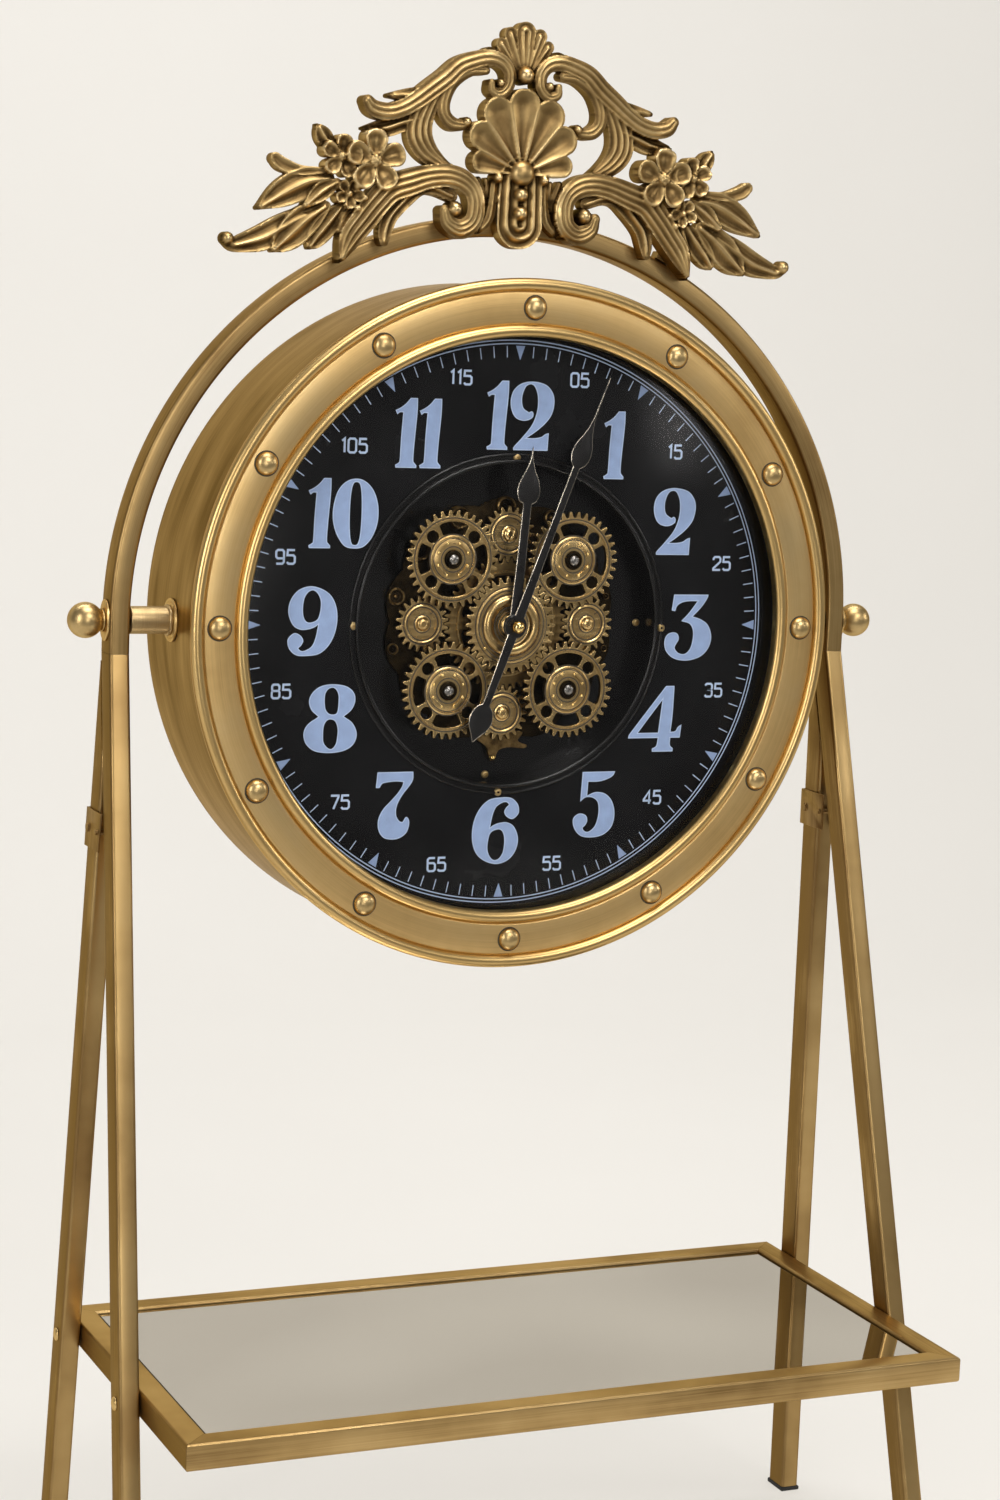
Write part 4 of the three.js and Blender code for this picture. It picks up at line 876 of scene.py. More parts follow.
# %% Bezel
BAND_FACE = -70.8
BEZEL_BACK = -64.3
BEAD = 5.5
BEAD_DEPTH = -69.8
INNER_BEAD = 259.5
OUTER_BEAD = 299.5
BAND_IN = 265.5
BAND_OUT = 293.5
bezel_profile = [(INNER_BEAD - BEAD, BEZEL_BACK)]
bezel_profile += arc(INNER_BEAD, BEAD_DEPTH, BEAD, 180, 0, 16)
bezel_profile += [(265, -69.6), (BAND_IN, BAND_FACE + 1.1), (266.2, BAND_FACE + 0.2), (266.9, BAND_FACE)]
bezel_profile += [(280, BAND_FACE), (292.1, BAND_FACE), (292.8, BAND_FACE + 0.2)]
bezel_profile += [(BAND_OUT, BAND_FACE + 1.1), (294, -69.6)]
bezel_profile += arc(OUTER_BEAD, BEAD_DEPTH, BEAD, 180, 0, 16)
bezel_profile += [(304.4, -66.0), (303, BEZEL_BACK), (298.2, BEZEL_BACK), (298.2, -51.3), (296.7, -51.3)]
bezel_profile += [(296.7, -67.8), (265, -67.8), (263, BEZEL_BACK)]
bezel = turned("bezel_beads", bezel_profile, bead_brass, 320, sharp=42)
bezel.data.materials.append(band_brass)
for face in bezel.data.polygons:
    middle = (face.center - PIVOT) / MM
    if BAND_IN < math.hypot(middle.x, middle.z) < BAND_OUT:
        face.material_index = 1

# %% [markdown]
# A rivet is a dome with a painted ring of shade round its foot; twelve of each go round the band.

# %% Bezel rivets
RIVET_CIRCLE = 279.5
RIVET = 9.9
RIVET_FOOT = -0.3
RIVET_RISE = 6.7
rivet_profile = [(0, 1.5), (10, 1.5), (10, 0.1), (RIVET, RIVET_FOOT)]
for i in range(1, 14):
    turn = math.radians(90 * i / 14)
    rivet_profile.append((RIVET * math.cos(turn), RIVET_FOOT - RIVET_RISE * math.sin(turn)))
rivet_profile.append((0, RIVET_FOOT - RIVET_RISE))
rivet = turned("rivet", rivet_profile, satin_brass, 40, centre=(0, BAND_FACE, 0))
about_origin(rivet, (0, BAND_FACE, 0))
rivets = copies("bezel_rivets", rivet, 12, RIVET_CIRCLE, satin_brass, 0, 0, (0, BAND_FACE, 0))
# The dark ring round each rivet's foot is painted shade.
ring_of_shade_profile = [(RIVET, -0.05), (11.1, -0.05), (11.3, 0.2), (9.7, 0.2)]
groove = turned("rivet_groove", ring_of_shade_profile, dark_line, 36, centre=(0, BAND_FACE, 0))
about_origin(groove, (0, BAND_FACE, 0))
rings_of_shade = copies("rivet_grooves", groove, 12, RIVET_CIRCLE, dark_line, 0, 0, (0, BAND_FACE, 0))
bezel = joined("bezel", [bezel, rivets, rings_of_shade])
belongs(bezel, "drum", "brass", "bezel_ring")
print("bezel faces", len(bezel.data.polygons))

# %% [markdown]
# The glass is a shallow dome, 3 mm thick, held behind the inner bead. The dial behind it is a black
# disc with a hole in the middle, and its outer edge turns up into a glossy rim that meets the glass.

# %% Glass dome
GLASS = 262
GLASS_RISE = 19
GLASS_EDGE = -62.39
GLASS_THICK = 3
sphere = (GLASS ** 2 + GLASS_RISE ** 2) / (2 * GLASS_RISE)
front_side, back_side = [], []
for i in range(29):
    radius = GLASS * i / 28
    rise = GLASS_RISE - (sphere - math.sqrt(sphere ** 2 - radius ** 2))
    front_side.append((radius, GLASS_EDGE - rise))
    back_side.insert(0, (radius, GLASS_EDGE - rise + GLASS_THICK))
glass_dome = turned("dome", front_side + back_side, glass, 160, sharp=60)
belongs(glass_dome, "drum", "glass", "glass_dome")
print("the glass is part of a sphere of", round(sphere), "mm")

# %% [markdown]
# The dial is four turned pieces: the flat face, its outer step and rim, and a rounded lip at the
# hole. The well behind the hole is a shallow black cup.

# %% Dial, rim and gear well
DIAL = -42
DIAL_BACK = -40.5
DIAL_EDGE = 254
RIM_IN = 260
RIM_OUT = 262
WELL = 143
WELL_FLOOR = -18
rim_profile = [(RIM_IN, DIAL - 0.02), (RIM_IN, -57.6)] + arc(261, -58.1, 1.0, 180, 0, 8)
rim_profile += [(RIM_OUT, DIAL_BACK), (DIAL_EDGE, DIAL_BACK), (DIAL_EDGE, DIAL - 0.02)]
rim = turned("dial_rim", rim_profile, well_black, 256)
face_profile = [(WELL, DIAL_BACK), (WELL, DIAL + 0.4), (143.4, DIAL), (200, DIAL)]
face_profile += [(DIAL_EDGE, DIAL), (DIAL_EDGE, DIAL_BACK)]
dial_face = turned("dial_face", face_profile, dial_black, 256)
step_profile = [(DIAL_EDGE, DIAL - 0.02), (254.4, DIAL - 0.7), (256.5, DIAL - 1.1), (259.2, DIAL - 0.7)]
step_profile += [(RIM_IN, DIAL - 0.02), (RIM_IN, DIAL + 0.4), (DIAL_EDGE, DIAL + 0.4)]
step_ring = turned("dial_step", step_profile, well_black, 256)
lip_profile = [(WELL, DIAL + 0.3), (WELL, DIAL - 1.2)] + arc(145.0, DIAL - 1.2, 2.0, 180, 0, 10)
lip_profile += [(147, DIAL - 0.02), (149.6, DIAL - 0.02)]
lip_profile += arc(151.0, DIAL - 0.1, 1.4, 180, 0, 8) + [(152.4, DIAL + 0.3)]
lip = turned("well_lip", lip_profile, well_black, 256)

well_profile = [(0, WELL_FLOOR), (143.3, WELL_FLOOR), (143.3, -40.2), (150.5, -40.2)]
well_profile += [(150.5, -39), (144.5, -39), (144.5, -16.8), (0, -16.8)]
well = turned("well_cup", well_profile, well_black, 192)
belongs(well, "drum", "dial_black", "gear_well")
print("dial and well made")

# %% [markdown]
# The print on the dial is powder blue with a thin paler edge. A round railway track runs outside
# the numerals: two circles, 120 strokes, and twelve triangles that point inward.

# %% Minute track
PRINT = DIAL - 0.05
PRINT_BACK = DIAL + 0.3
circles = []
for radius in (248, 251):
    inner, outer = radius - 0.5, radius + 0.5
    line = [(inner, PRINT_BACK), (inner, PRINT), (outer, PRINT), (outer, PRINT_BACK)]
    circles.append(turned("track_circle", line, print_pale, 256))


def flat_item(points, front=PRINT):
    """A thin printed shape about the origin, from its corners in (x, z)."""
    return about_origin(cut_plate("item", [points], front - DIAL, PRINT_BACK - DIAL, print_blue, 0.0))


tick = flat_item([(-0.42, -9.8), (0.42, -9.8), (0.42, 0), (-0.42, 0)])
ticks = copies("ticks", tick, 120, 245.8, print_pale, centre=(0, DIAL, 0))
pointer = flat_item([(-4.4, 0.1), (0, -12.4), (4.4, 0.1)], front=PRINT - 0.02)
triangles = copies("triangles", pointer, 12, 246, print_blue, centre=(0, DIAL, 0))
print("track made")

# %% [markdown]
# The hour numerals are fat faces: heavy stems and bowls against hairlines, with ball ends and flat
# slab feet. Each digit is drawn as outlines on a grid 100 high; a point with a third value is a
# sharp corner, and the others are joined by a smooth curve.

# %% Shapes of the digits
DIGITS = {
    "0": [
        [
            (35, 100), (49, 96), (61, 84), (68, 67), (70, 50), (68, 33), (61, 16), (49, 3), (35, 0),
            (20, 3), (9, 16), (2, 33), (0, 50), (2, 67), (8, 84), (20, 96),
        ],
        [
            (35, 95), (40, 92), (43, 77), (44, 50), (43, 23), (40, 8), (35, 5), (30, 8), (27, 23),
            (26, 50), (27, 77), (30, 92),
        ],
    ],
    "1": [
        [
            (23, 100, 1), (34, 100, 1), (34, 79), (31, 36), (30, 12), (32, 7), (35, 4, 1), (35, 0, 1),
            (3, 0, 1), (2, 4, 1), (7, 7), (9, 12), (10, 44), (12, 79, 1), (7, 79), (3, 76, 1), (0, 82, 1),
            (8, 86), (16, 92),
        ],
    ],
    "2": [
        [
            (30, 55, 1), (34, 57), (37, 54), (36, 48), (29, 44), (20, 43), (9, 47), (2, 58), (0, 72),
            (4, 86), (15, 96), (33, 100), (55, 96), (67, 84), (70, 69), (66, 52), (55, 38), (40, 26),
            (28, 18, 1), (40, 18), (51, 20), (57, 24), (63, 26, 1), (62, 0, 1), (7, 0, 1), (8, 5),
            (21, 19), (36, 38), (43, 59), (43, 79), (38, 92), (32, 96), (24, 93), (19, 82), (18, 71),
            (21, 61),
        ],
    ],
    "3": [
        [
            (13, 100, 1), (71, 100, 1), (69, 94), (60, 81), (46, 67, 1), (61, 62), (73, 53), (79, 36),
            (75, 19), (62, 6), (40, 0), (18, 3), (4, 14), (0, 28), (4, 39), (14, 43), (22, 40), (24, 32),
            (20, 25), (18, 19), (24, 12), (35, 10), (44, 18), (48, 34), (47, 47), (41, 56), (27, 60, 1),
            (39, 72), (53, 90, 1), (38, 90), (27, 88), (19, 83), (16, 75, 1), (10, 76, 1),
        ],
    ],
    "4": [
        [
            (60, 100, 1), (74, 100, 1), (74, 88), (73, 53), (71, 30, 1), (79, 31), (83, 37), (89, 41, 1),
            (87, 21, 1), (71, 21, 1), (71, 10), (76, 5, 1), (76, 0, 1), (41, 0, 1), (41, 5, 1), (48, 9),
            (50, 21, 1), (0, 21, 1), (1, 26, 1), (28, 60),
        ],
        [
            (55, 79, 1), (50, 29, 1), (16, 29, 1), (36, 55),
        ],
    ],
    "5": [
        [
            (13, 100, 1), (67, 100, 1), (63, 93), (53, 88), (40, 85), (23, 85, 1), (22, 64, 1), (36, 69),
            (52, 66), (64, 54), (69, 35), (65, 16), (52, 4), (34, 0), (16, 2), (5, 11), (0, 23), (2, 32),
            (11, 37), (21, 34), (24, 26), (21, 19), (17, 15), (20, 10), (27, 9), (36, 16), (41, 29),
            (42, 44), (39, 55), (30, 61), (19, 61), (11, 55, 1),
        ],
    ],
    "6": [
        [
            (44, 100), (61, 99), (72, 90), (75, 79), (72, 72), (64, 67), (55, 71), (51, 78), (54, 85),
            (58, 89), (53, 93), (45, 91), (37, 85), (32, 72), (29, 55, 1), (35, 59), (45, 62), (57, 62),
            (68, 55), (75, 38), (72, 20), (61, 6), (44, 0), (27, 3), (12, 12), (3, 27), (0, 46), (3, 67),
            (12, 85), (26, 97),
        ],
        [
            (41, 52), (48, 50), (52, 42), (53, 31), (51, 17), (45, 8), (37, 6), (30, 12), (26, 23),
            (27, 38), (31, 48),
        ],
    ],
    "7": [
        [
            (2, 100, 1), (58, 100, 1), (58, 88), (52, 78), (43, 67), (36, 55), (33, 44), (34, 34),
            (39, 27), (44, 26), (47, 31), (50, 33), (54, 28), (54, 19), (50, 9), (40, 2), (28, 0), (15, 3),
            (7, 13), (5, 26), (8, 37), (14, 47), (25, 58), (35, 69), (41, 78), (43, 85, 1), (31, 86),
            (19, 85), (10, 83), (6, 77, 1), (0, 77, 1),
        ],
    ],
    "8": [
        [
            (42, 100), (63, 97), (75, 88), (78, 76), (73, 63), (61, 53, 1), (75, 43), (82, 27), (77, 12),
            (63, 3), (41, 0), (18, 3), (4, 14), (0, 29), (6, 42), (22, 53, 1), (11, 63), (7, 76), (12, 88),
            (24, 97),
        ],
        [
            (42, 95), (48, 92), (52, 83), (52, 67), (50, 58), (44, 56), (37, 58), (32, 66), (31, 83),
            (35, 92),
        ],
        [
            (41, 49), (48, 46), (52, 36), (52, 25), (50, 13), (44, 6), (37, 8), (31, 16), (30, 29),
            (31, 40), (35, 47),
        ],
    ],
}
DIGITS["9"] = [[(75 - p[0], 100 - p[1], *p[2:]) for p in outline] for outline in DIGITS["6"]]
print("digits", sorted(DIGITS))

# %% [markdown]
# A numeral is cut twice from its outlines: a pale layer, and the blue face above it, a little
# smaller, so that a thin pale edge stays in sight.

# %% Numerals on the dial
def smooth_outline(points, steps=5):
    """A closed outline through the points: curved through plain points, sharp at marked corners."""
    count = len(points)
    flat = [Vector((p[0], p[1])) for p in points]
    corner = [len(p) > 2 for p in points]
    drawn = []
    for i in range(count):
        before, start, end, after = (flat[(i + k) % count] for k in (-1, 0, 1, 2))
        if corner[i] and corner[(i + 1) % count]:
            drawn.append(tuple(start))
            continue
        leave = (end - start) if corner[i] else (end - before) / 2
        reach = (end - start) if corner[(i + 1) % count] else (after - start) / 2
        for k in range(steps):
            t = k / steps
            a, b = 2 * t ** 3 - 3 * t ** 2 + 1, t ** 3 - 2 * t ** 2 + t
            c, d = -2 * t ** 3 + 3 * t ** 2, t ** 3 - t ** 2
            drawn.append(tuple(start * a + leave * b + end * c + reach * d))
    return drawn


def digit_width(digit):
    return max(point[0] for outline in DIGITS[digit] for point in outline)


HOUR_HEIGHT = 60.5
DIGIT_GAP = 2.5
HOUR_PLACES = [
    (95.3, 161.3), (159.2, 93.9), (178.9, -2.7), (149.8, -86.5), (91.9, -164.3), (-5.4, -185.8),
    (-104.3, -160.6), (-166.3, -82.1), (-185.8, 3.3), (-160.8, 96.8), (-93.9, 167.5), (2.4, 185.1),
]


def hour_numeral(hour):
    """One hour numeral, upright, in two layers: a pale rim and the blue face a little smaller."""
    text = str(hour)
    unit = HOUR_HEIGHT / 100
    width = sum(digit_width(digit) for digit in text) + DIGIT_GAP * (len(text) - 1)
    middle_x, middle_z = HOUR_PLACES[hour - 1]
    x = -width / 2
    layers = []
    for digit in text:
        outlines = []
        for outline in DIGITS[digit]:
            smooth = smooth_outline(outline)
            outlines.append([(middle_x + (x + a) * unit, middle_z + (b - 50) * unit) for a, b in smooth])
        layers.append(cut_plate(f"rim_{hour}", outlines, PRINT, PRINT_BACK, print_pale, 0.0))
        layers.append(cut_plate(f"face_{hour}", outlines, PRINT - 0.04, PRINT_BACK, print_blue, 0.0, 0.75))
        x += digit_width(digit) + DIGIT_GAP
    return layers


prints = circles + [ticks, triangles]
for hour in range(1, 13):
    prints += hour_numeral(hour)
print("printed shapes so far", len(prints))

# %% [markdown]
# Small labels count from 05 to 115 between the hours. Their figures are squared, with cut
# corners, so each is drawn as a pen line on a grid and the line is given a width.

# %% Minute labels
LABEL_UNIT = 1.18
LABEL_STROKE = 0.95
LABEL_PLACES = [
    (59, 218), (156.6, 156.7), (210, 56.2), (208, -60.5), (150.5, -159), (52, -217.2),
    (-61, -214.6), (-154.9, -156.1), (-212.6, -57.7), (-212.3, 58.8), (-152.8, 155.4), (-55.5, 216.9),
]
LOOP_SIX = [(0, 1.2), (1.2, 0), (4.8, 0), (6, 1.2), (6, 4.9), (4.8, 6.1), (0, 6.1)]
FIGURES = {
    "0": [(0, 1.2), (1.2, 0), (4.8, 0), (6, 1.2), (6, 8.8), (4.8, 10), (1.2, 10), (0, 8.8), (0, 1.2)],
    "1": [(0.6, 8.3), (2.6, 10), (2.6, 0)],
    "2": [(0, 7.6), (0, 8.8), (1.2, 10), (4.8, 10), (6, 8.8), (6, 6.4), (0.1, 1.2), (0.1, 0), (6.1, 0)],
    "3": [
        (0, 8.8), (1.2, 10), (4.8, 10), (6, 8.8), (6, 6.4), (4.8, 5.3), (1.8, 5.3), (4.8, 5.3), (6, 4.1),
        (6, 1.2), (4.8, 0), (1.2, 0), (0, 1.2),
    ],
    "4": [(4.6, 0), (4.6, 10), (0, 3.4), (0, 2.5), (6.2, 2.5)],
    "5": [(5.9, 10), (0.5, 10), (0.2, 6.2), (4.8, 6.2), (6, 5), (6, 1.2), (4.8, 0), (1.2, 0), (0, 1.2)],
    "6": [(5.8, 10), (1.2, 10), (0, 8.8)] + LOOP_SIX,
    "7": [(0, 10), (6, 10), (6, 9), (2.2, 0)],
    "8": [
        (0.8, 5.4), (0, 4.2), (0, 1.2), (1.2, 0), (4.8, 0), (6, 1.2), (6, 4.2), (5.2, 5.4), (5.8, 6.5),
        (5.8, 8.8), (4.8, 10), (1.2, 10), (0.2, 8.8), (0.2, 6.5), (0.8, 5.4), (5.2, 5.4),
    ],
}
FIGURES["9"] = [(6 - x, 10 - z) for x, z in FIGURES["6"]]


def pen_line(points, half_width):
    """The two sides of a line that is mitred at its bends, as left and right points in turn."""
    spots = [Vector(point) for point in points]
    last = len(spots) - 1
    drawn = []
    for i, here in enumerate(spots):
        before, after = spots[max(i - 1, 0)], spots[min(i + 1, last)]
        if points[0] == points[-1] and i in (0, last):
            before, after = spots[-2], spots[1]
        into = (here - before).normalized() if here != before else (after - here).normalized()
        out = (after - here).normalized() if here != after else into
        across = Vector((-(into.y + out.y), into.x + out.x))
        if across.length < 0.3:
            across = Vector((-into.y, into.x))
        across.normalize()
        square = max(abs(across.dot(Vector((-into.y, into.x)))), 0.45)
        drawn += [here + across * half_width / square, here - across * half_width / square]
    return drawn


def minute_label(text, middle):
    """Upright figures about a point of the dial."""
    advance = [5.6 if figure == "1" else 8.4 for figure in text]
    left = -(sum(advance) - 2.0) / 2
    points, faces = [], []
    for figure, width in zip(text, advance):
        drawn = pen_line(FIGURES[figure], LABEL_STROKE / LABEL_UNIT)
        for first in range(len(points), len(points) + len(drawn) - 2, 2):
            faces.append((first, first + 2, first + 3, first + 1))
        for spot in drawn:
            x, z = left + spot.x, spot.y - 5
            points.append(placed(middle[0] + x * LABEL_UNIT, PRINT, middle[1] + z * LABEL_UNIT))
        left += width
    mesh = bpy.data.meshes.new("label")
    mesh.from_pydata(points, [], faces)
    mesh.materials.append(print_pale)
    return shown("label", mesh)


for i, middle in enumerate(LABEL_PLACES):
    prints.append(minute_label(f"{5 + 10 * i:02d}", middle))
print("printed shapes", len(prints))

# %% [markdown]
# Six small screws hold the dial and the well. Then the dial is made one piece with its
# print, its rim and its screws.

# %% Dial screws
screw_profile = [(0, -0.9), (0.9, -0.9), (1.3, -1.8), (2.8, -1.5), (3.6, -0.4), (3.6, 0.3), (0, 0.3)]
screws = []
for x, y, z in (
    (1, DIAL, 148.5), (151, DIAL, -3), (-4.5, DIAL, -150.5), (-148.5, DIAL, -1),
    (137, WELL_FLOOR, -0.5), (-7.5, WELL_FLOOR, -138),
):
    screws.append(turned("dial_screw", screw_profile, satin_brass, 24, centre=(x, y, z)))
dial = joined("dial", [dial_face, rim, step_ring, lip] + prints + screws)
belongs(dial, "drum", "dial_black", "dial_plate")
print("dial faces", len(dial.data.polygons))

# %% [markdown]
# On each side a bolt runs from inside the drum through a flange, a sleeve, the arch and an oval
# plate, and a ball knob closes it. The sleeve is rubbed brighter than the rest.

# %% Pivots and knobs
def on_side(profile, side):
    return [(radius, side * x) for radius, x in profile]


BOLT = 5.4
OVAL_WIDTH = 12.5 / 18
flange_profile = [(BOLT, 300.3), (19, 300.3), (19, 301.3), (18.4, 302.0), (17.6, 302.2), (16.6, 301.9)]
flange_profile += [(16.2, 301.4), (15.6, 301.4), (15.2, 302.0), (14.6, 302.3), (BOLT, 302.3)]
sleeve_profile = [(BOLT, 302.6), (13.2, 302.6), (13.6, 303.1), (13.6, 304.6), (13.2, 305.1), (12, 305.4)]
sleeve_profile += [(12, 320), (12, 337.9), (11.5, 338.5), (BOLT, 338.5)]
plate_profile = [(BOLT, 358.8), (18, 358.8), (18, 359.8), (17.4, 360.5), (16, 360.8), (14.5, 360.8)]
plate_profile += [(13.9, 361.2), (12.6, 361.3), (BOLT, 361.3)]
KNOB = 15.5
KNOB_CENTRE = 376.6
KNOB_NECK = 0.575
knob_profile = [(BOLT, 361.6), (9.6, 361.6), (10.2, 362.1), (10.2, 362.9), (9.6, 363.4), (8.5, 363.6)]
knob_profile.append((8.5, 364.4))
for i in range(27):
    turn = KNOB_NECK + (math.pi - KNOB_NECK) * i / 26
    knob_profile.append((max(KNOB * math.sin(turn), 0), KNOB_CENTRE - KNOB * math.cos(turn)))
knob_profile += [(0, 376.9), (BOLT, 376.9)]
for hand, side in HANDS:
    bolt = softened(hand + "_bolt", hand + "_pivot_bolt", steel, 0.3, 2, 40)
    belongs(bolt, "drum", "steel", hand + "_pivot_bolt")
    flange = turned(hand + "_flange", on_side(flange_profile, side), bead_brass, 96, "X")
    belongs(flange, "drum", "brass", hand + "_pivot_flange")
    sleeve = turned(hand + "_sleeve", on_side(sleeve_profile, side), sleeve_brass, 96, "X")
    belongs(sleeve, "drum", "brass", hand + "_pivot_sleeve")
    oval = turned(hand + "_oval_plate", on_side(plate_profile, side), bead_brass, 96, "X")
    for vertex in oval.data.vertices:
        reach = math.hypot(vertex.co.y - PIVOT.y, vertex.co.z - PIVOT.z)
        if reach > 0.006:
            vertex.co.y = PIVOT.y + (vertex.co.y - PIVOT.y) * OVAL_WIDTH
    belongs(oval, "stand", "brass", hand + "_escutcheon")
    knob = turned(hand + "_ball", on_side(knob_profile, side), satin_brass, 96, "X")
    belongs(knob, hand + "_knob", "brass", hand + "_ball_knob")
print("pivots made")

# %% [markdown]
# ## The gears
# A wheel of 34 teeth turns in the middle and drives four wheels of the same size at the corners.
# Behind it, on the same tube, a wheel of 50 teeth drives four small ones of 20 teeth. The phases
# of the teeth are worked out so that they mesh: each driven wheel is turned by half a tooth and by
# its share of the driver's angle.

# %% Gear outlines
GEAR_TEETH, RING_TEETH, SMALL_TEETH = 34, 50, 20
CORNER_REACH, SMALL_REACH = 82.3, 80
CORNER_MODULE = CORNER_REACH / GEAR_TEETH
RING_MODULE = 2 * SMALL_REACH / (RING_TEETH + SMALL_TEETH)
FRONT_GEARS = (-45.8, -40.8)
REAR_GEARS = (-33.8, -28.8)
BORE = 5.1
# Each point of a tooth: its height over the pitch circle in modules, and its share of the pitch.
TOOTH = [(-1.25, -0.36), (-1.1, -0.315), (-0.2, -0.225), (0.6, -0.15), (0.95, -0.095)]
TOOTH += [(radius, -share) for radius, share in reversed(TOOTH)]


def gear_outline(teeth, module, start, centre=(0, 0)):
    pitch = teeth * module / 2
    points = []
    for i in range(teeth):
        for rise, share in TOOTH:
            angle = start + 2 * math.pi * (i + share) / teeth
            radius = pitch + rise * module
            points.append((centre[0] + radius * math.cos(angle), centre[1] + radius * math.sin(angle)))
    return points


def arc_window(inner, outer, middle, half_span, centre, corner=1.2, steps=12):
    """A window between two circles, with its corners cut round."""
    inner_part, outer_part = [], []
    for i in range(steps + 1):
        share = 2 * i / steps - 1
        squeeze = corner * max(0, abs(share) - 0.82) / 0.18
        turn = middle + half_span * share
        inner_part.append((inner + squeeze, turn))
        outer_part.append((outer - squeeze, turn))
    ring = inner_part + outer_part[::-1]
    return [(centre[0] + r * math.cos(t), centre[1] + r * math.sin(t)) for r, t in ring]


def meshed_start(direction, driver_teeth, teeth):
    return direction + math.pi + math.pi / teeth + driver_teeth / teeth * direction


def gear_blank(name, outlines, depths, face=gear_brass):
    """A toothed plate whose sideways walls are painted dark as shade, while its front edges stay bright
    brass.
    """
    blank = cut_plate(name, outlines, *depths, face, 0.4)
    blank.data.materials.append(gear_wall)
    # Faces that turn sideways get the painted shade.
    for polygon in blank.data.polygons:
        if abs(polygon.normal.y) < 0.3:
            polygon.material_index = 1
    return blank


def dark_ring(radius, y, centre, width=0.55):
    """A thin dark ring just in front of a face: painted shade beside a raised ring."""
    inner, outer, back, front = radius - width, radius + width, y + 0.25, y - 0.06
    line = [(inner, back), (inner, front), (outer, front), (outer, back)]
    return turned("groove", line, dark_line, 72, centre=(centre[0], 0, centre[1]))


def dome(name, radius, rise, x, y, z, material, sides=20, rings=5):
    """A rivet head that looks forward from a face at depth y."""
    profile = [(0, y + 0.4), (radius, y + 0.4), (radius, y)]
    for i in range(1, rings):
        turn = math.pi / 2 * i / rings
        profile.append((radius * math.cos(turn), y - rise * math.sin(turn)))
    profile.append((0, y - rise))
    return turned(name, profile, material, sides, centre=(x, 0, z))


print("gear modules", round(CORNER_MODULE, 3), "and", round(RING_MODULE, 3), "mm")

# %% [markdown]
# Each corner gear has four windows and four holes, raised rings, a ring of rivets round its hub and
# a stud that it turns on.

# %% Corner gears
def corner_gear(name, x, z):
    direction = math.atan2(z, x)
    centre = (x * CORNER_REACH / math.sqrt(2), z * CORNER_REACH / math.sqrt(2))
    start = meshed_start(direction, GEAR_TEETH, GEAR_TEETH)
    outlines = [gear_outline(GEAR_TEETH, CORNER_MODULE, start, centre), circle_outline(4.4, *centre)]
    for i in range(4):
        turn = math.pi / 2 * i
        outlines.append(arc_window(22.4, 33.2, turn, 0.45, centre))
        turn += math.pi / 4
        hole = (centre[0] + 27.8 * math.cos(turn), centre[1] + 27.8 * math.sin(turn))
        outlines.append(circle_outline(5.7, *hole, sides=32))
    front = FRONT_GEARS[0]
    parts = [gear_blank(name, outlines, FRONT_GEARS)]
    # Thin dark rings: painted shade beside the raised rings.
    parts += [dark_ring(radius, front, centre) for radius in (36.4, 22.0)]
    parts += [dark_ring(radius, front - 0.7, centre, 0.5) for radius in (18.4, 11.2)]
    for ring in (
        [(33.7, 0.3), (33.9, -0.45), (34.5, -0.6), (35.3, -0.45), (35.6, 0.3)],
        [(8.0, 0.3), (8.0, -0.2), (8.6, -0.7), (20.6, -0.7), (21.4, -0.2), (21.4, 0.3)],
        [(19.0, -0.4), (19.3, -1.05), (20.0, -1.05), (20.3, -0.4)],
    ):
        profile = [(radius, front + depth) for radius, depth in ring]
        parts.append(turned("ring", profile, gear_brass, 72, centre=(centre[0], 0, centre[1])))
    hub_face = (centre[0], front - 0.7, centre[1])
    rivet = dome("hub rivet", 1.5, 1.3, 0, front - 0.7, 0, polished_brass, 12, 3)
    about_origin(rivet, (0, front - 0.7, 0))
    parts.append(copies("hub rivets", rivet, 8, 15.0, polished_brass, 22.5, centre=hub_face))
    window_outline = arc_window(13.6, 16.4, math.pi / 2, 0.5, (0, 0), 0.9)
    clip = about_origin(cut_plate("clip", [window_outline], -0.75, 0.3, gear_brass, 0.25))
    parts.append(copies("clips", clip, 4, 0, gear_brass, 45, centre=hub_face))
    gear = joined(name + "_wheel", parts)
    grain_round(gear, "Y", (centre[0], 0, centre[1]))
    belongs(gear, name, "gear_brass", name)
    return centre


def corner_stud(label, centre):
    """The axle that a corner gear turns on, with a dark washer and a domed steel nut."""
    axle = [(0, -18.3), (2.5, -18.3), (2.5, -21.6), (6.4, -21.6)]
    axle += [(6.4, -40.5), (4, -40.5), (4, -46.4), (0, -46.4)]
    washer = [(0, -46.4), (8.2, -46.4), (8.2, -47.4), (7.7, -48.1), (6.4, -48.3), (5.8, -47.7), (0, -47.7)]
    nut = [(0, -47.7), (4.6, -47.7), (4.6, -48.6), (4.2, -49.4), (3.2, -50.1)]
    nut += [(2.0, -50.5), (1.2, -50.6), (0.9, -50.3), (0, -50.2)]
    place = (centre[0], 0, centre[1])
    parts = [
        turned("axle", axle, steel, 32, centre=place),
        turned("washer", washer, casting_black, 48, centre=place),
        turned("nut", nut, steel, 40, centre=place),
    ]
    belongs(joined(label + "_axle", parts), "drum", "steel", label + "_stud")


for level_name, z in (("upper", 1), ("lower", -1)):
    for hand, x in HANDS:
        label = f"{level_name}_{hand}"
        corner_stud(label, corner_gear(label + "_gear", x, z))
print("corner gears made")

# %% [markdown]
# The centre wheel's face is turned in steps round its tube, with a row of small holes along its
# right half. The ring gear behind it has six windows.

